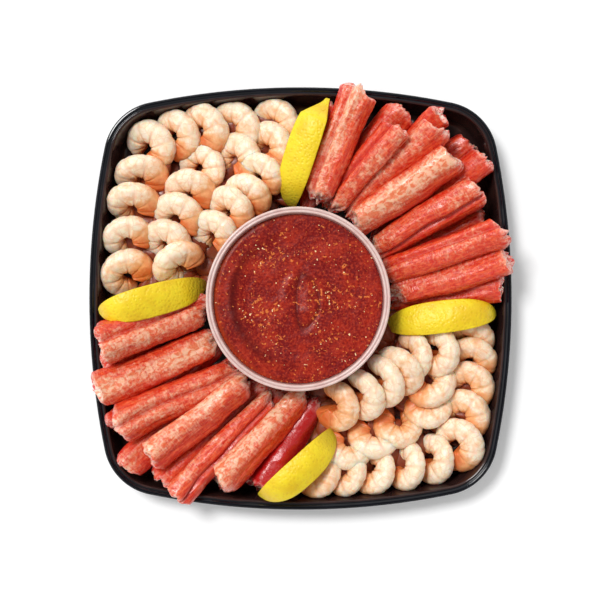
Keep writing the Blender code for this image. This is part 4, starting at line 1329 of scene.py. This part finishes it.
class Heap:
    """The shrimps of one quarter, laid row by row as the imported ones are, and flat ones below in the gaps."""

    def __init__(self, name):
        self.name = name
        self.rows = SHRIMP_HEAPS[name]
        self.draw = random.Random(SEED + len(name))
        self.shrimps = []
        self.below = []

    def lay_rows(self, numbers, tray_ground, ground):
        for number in numbers:
            for pose in row_poses(*self.rows[number]):
                level = number * SHRIMP_ROW_LIFT
                self.shrimps.append(settle_shrimp(pose, level, tray_ground, ground, self.draw))

    def fill_below(self, draw):
        """Flat shrimps between each row and the next one out, along the cup, and where more are named."""
        places = []
        for outer, inner in zip(self.rows, self.rows[1:]):
            for place in inner[0]:
                near = min(outer[0], key=lambda other: math.dist(other, place))
                places.append((Vector(place) + Vector(near)) / 2 * MM)
        for place in (*self.rows[-1][0], self.rows[-2][0][-1]):
            places.append(Vector(place).normalized() * SHRIMP_BELOW_RADIUS)
        poses = [(place, draw.uniform(0, 2 * math.pi)) for place in places]
        for x, y, opening in SHRIMP_BELOW_MORE[self.name]:
            poses.append((Vector((x, y)) * MM, math.radians(opening)))
        for place, opening in poses:
            flat = Matrix.Translation((*place, SHRIMP_BELOW_HEIGHT)) @ Matrix.Rotation(opening, 4, "Z")
            self.below.append((1.0, flat))

    def make(self, material):
        """One mesh of all the detailed shrimps, over their core."""
        draw = random.Random(SEED * len(self.name))
        self.fill_below(draw)
        points = []
        faces = []
        marks = []
        first = 0
        # The shrimps below get the deep mark, painted shade
        layers = (
            (self.shrimps, SHRIMP_FINE, SHRIMP_TONE_AND_SHADE[self.name], 0.0),
            (self.below, SHRIMP_BELOW, SHRIMP_BELOW_SHADE, 1.0),
        )
        for shrimps, fineness, tones_and_shades, painted_shade in layers:
            for number, (size, matrix) in enumerate(shrimps):
                seed = 10 * number + len(self.name)
                tone_and_shade = draw.uniform(*tones_and_shades)
                more, more_marks = shrimp_points(size, matrix, fineness, tone_and_shade, seed, draw)
                points.append(more)
                marks.append({**more_marks, "deep": np.full(len(more), painted_shade)})
                faces += [tuple(corner + first for corner in face) for face in tube_faces(*fineness)]
                first += len(more)
        joined = {mark: np.concatenate([values[mark] for values in marks]) for mark in marks[0]}
        name = self.name.replace("shrimps", "curls")
        piece = add_mesh(name, np.concatenate(points), faces, material, joined)
        hand_over(piece, self.name)
        hand_over(make_core(self.name, self.rows), self.name)


def make_shrimps(nodes):
    tray = nodes["tray"]
    sticks = [node for name, node in nodes.items() if name.startswith("crab_stick")]
    tray_ground = Ground([tray])
    ground = Ground([tray, *sticks])
    material = shrimp_look()
    upper = Heap("shrimps_upper_left")
    upper.lay_rows((0, 1, 2), tray_ground, ground)
    lower = Heap("shrimps_lower_right")
    lower.lay_rows((0, 1), tray_ground, ground)
    ground.add(nodes["lemon_wedge_bottom"])
    lower.lay_rows((2,), tray_ground, ground)
    upper.make(material)
    lower.make(material)


def make_floor():
    half = FLOOR_SIZE / 2
    points = [(-half, -half, -GAP), (half, -half, -GAP), (half, half, -GAP), (-half, half, -GAP)]
    add_mesh("floor", points, [(0, 1, 2, 3)], floor_look())


def make_light():
    key = bpy.data.lights.new("key", "SUN")
    key.energy = KEY_STRENGTH
    key.angle = KEY_SOFTNESS
    item = bpy.data.objects.new("key", key)
    item.rotation_euler = KEY_DIRECTION.to_track_quat("Z", "Y").to_euler()
    bpy.context.scene.collection.objects.link(item)
    bpy.context.scene.view_settings.view_transform = "Standard"


def make_room():
    """A white room, brighter on the key's side and dark straight above, as it is behind a camera there."""
    world = bpy.data.worlds.new("room")
    world.use_nodes = True
    room = Wiring(world.node_tree)
    direction = room.node("ShaderNodeTexCoord").outputs["Generated"]
    towards_key = (KEY_DIRECTION * Vector((1, 1, 0))).normalized() * ROOM_SLOPE
    sideways = room.node("ShaderNodeVectorMath", {0: direction, 1: towards_key}, operation="DOT_PRODUCT")
    bright = room.math("ADD", sideways.outputs["Value"], ROOM_STRENGTH)
    upward = room.node("ShaderNodeSeparateXYZ", {"Vector": direction}).outputs["Z"]
    zenith = room.between(room.fade(upward, *ROOM_DARK_FROM), 1.0, ROOM_DARKEST)
    background = world.node_tree.nodes["Background"]
    background.inputs["Color"].default_value = (1.0, 1.0, 1.0, 1.0)
    room.wire(room.math("MULTIPLY", bright, zenith), background.inputs["Strength"])
    bpy.context.scene.world = world


def make_camera():
    camera = bpy.data.cameras.new("camera")
    camera.sensor_width = SENSOR_WIDTH
    camera.lens = SENSOR_WIDTH * CAMERA_HEIGHT / (PICTURE_PIXELS * PIXEL)
    item = bpy.data.objects.new("camera", camera)
    across = PICTURE_PIXELS / 2 - TRAY_MIDDLE_PIXEL[0]
    down = PICTURE_PIXELS / 2 - TRAY_MIDDLE_PIXEL[1]
    item.location = (across * PIXEL, -down * PIXEL, CAMERA_HEIGHT + RIM_HEIGHT)
    bpy.context.scene.collection.objects.link(item)
    bpy.context.scene.camera = item


def main():
    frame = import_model()
    nodes = frame["nodes"]
    make_camera()
    make_light()
    make_room()
    make_floor()
    make_tray()
    make_cup()
    make_sauce()
    make_sticks(nodes)
    make_lemons(nodes)
    make_shrimps(nodes)


main()
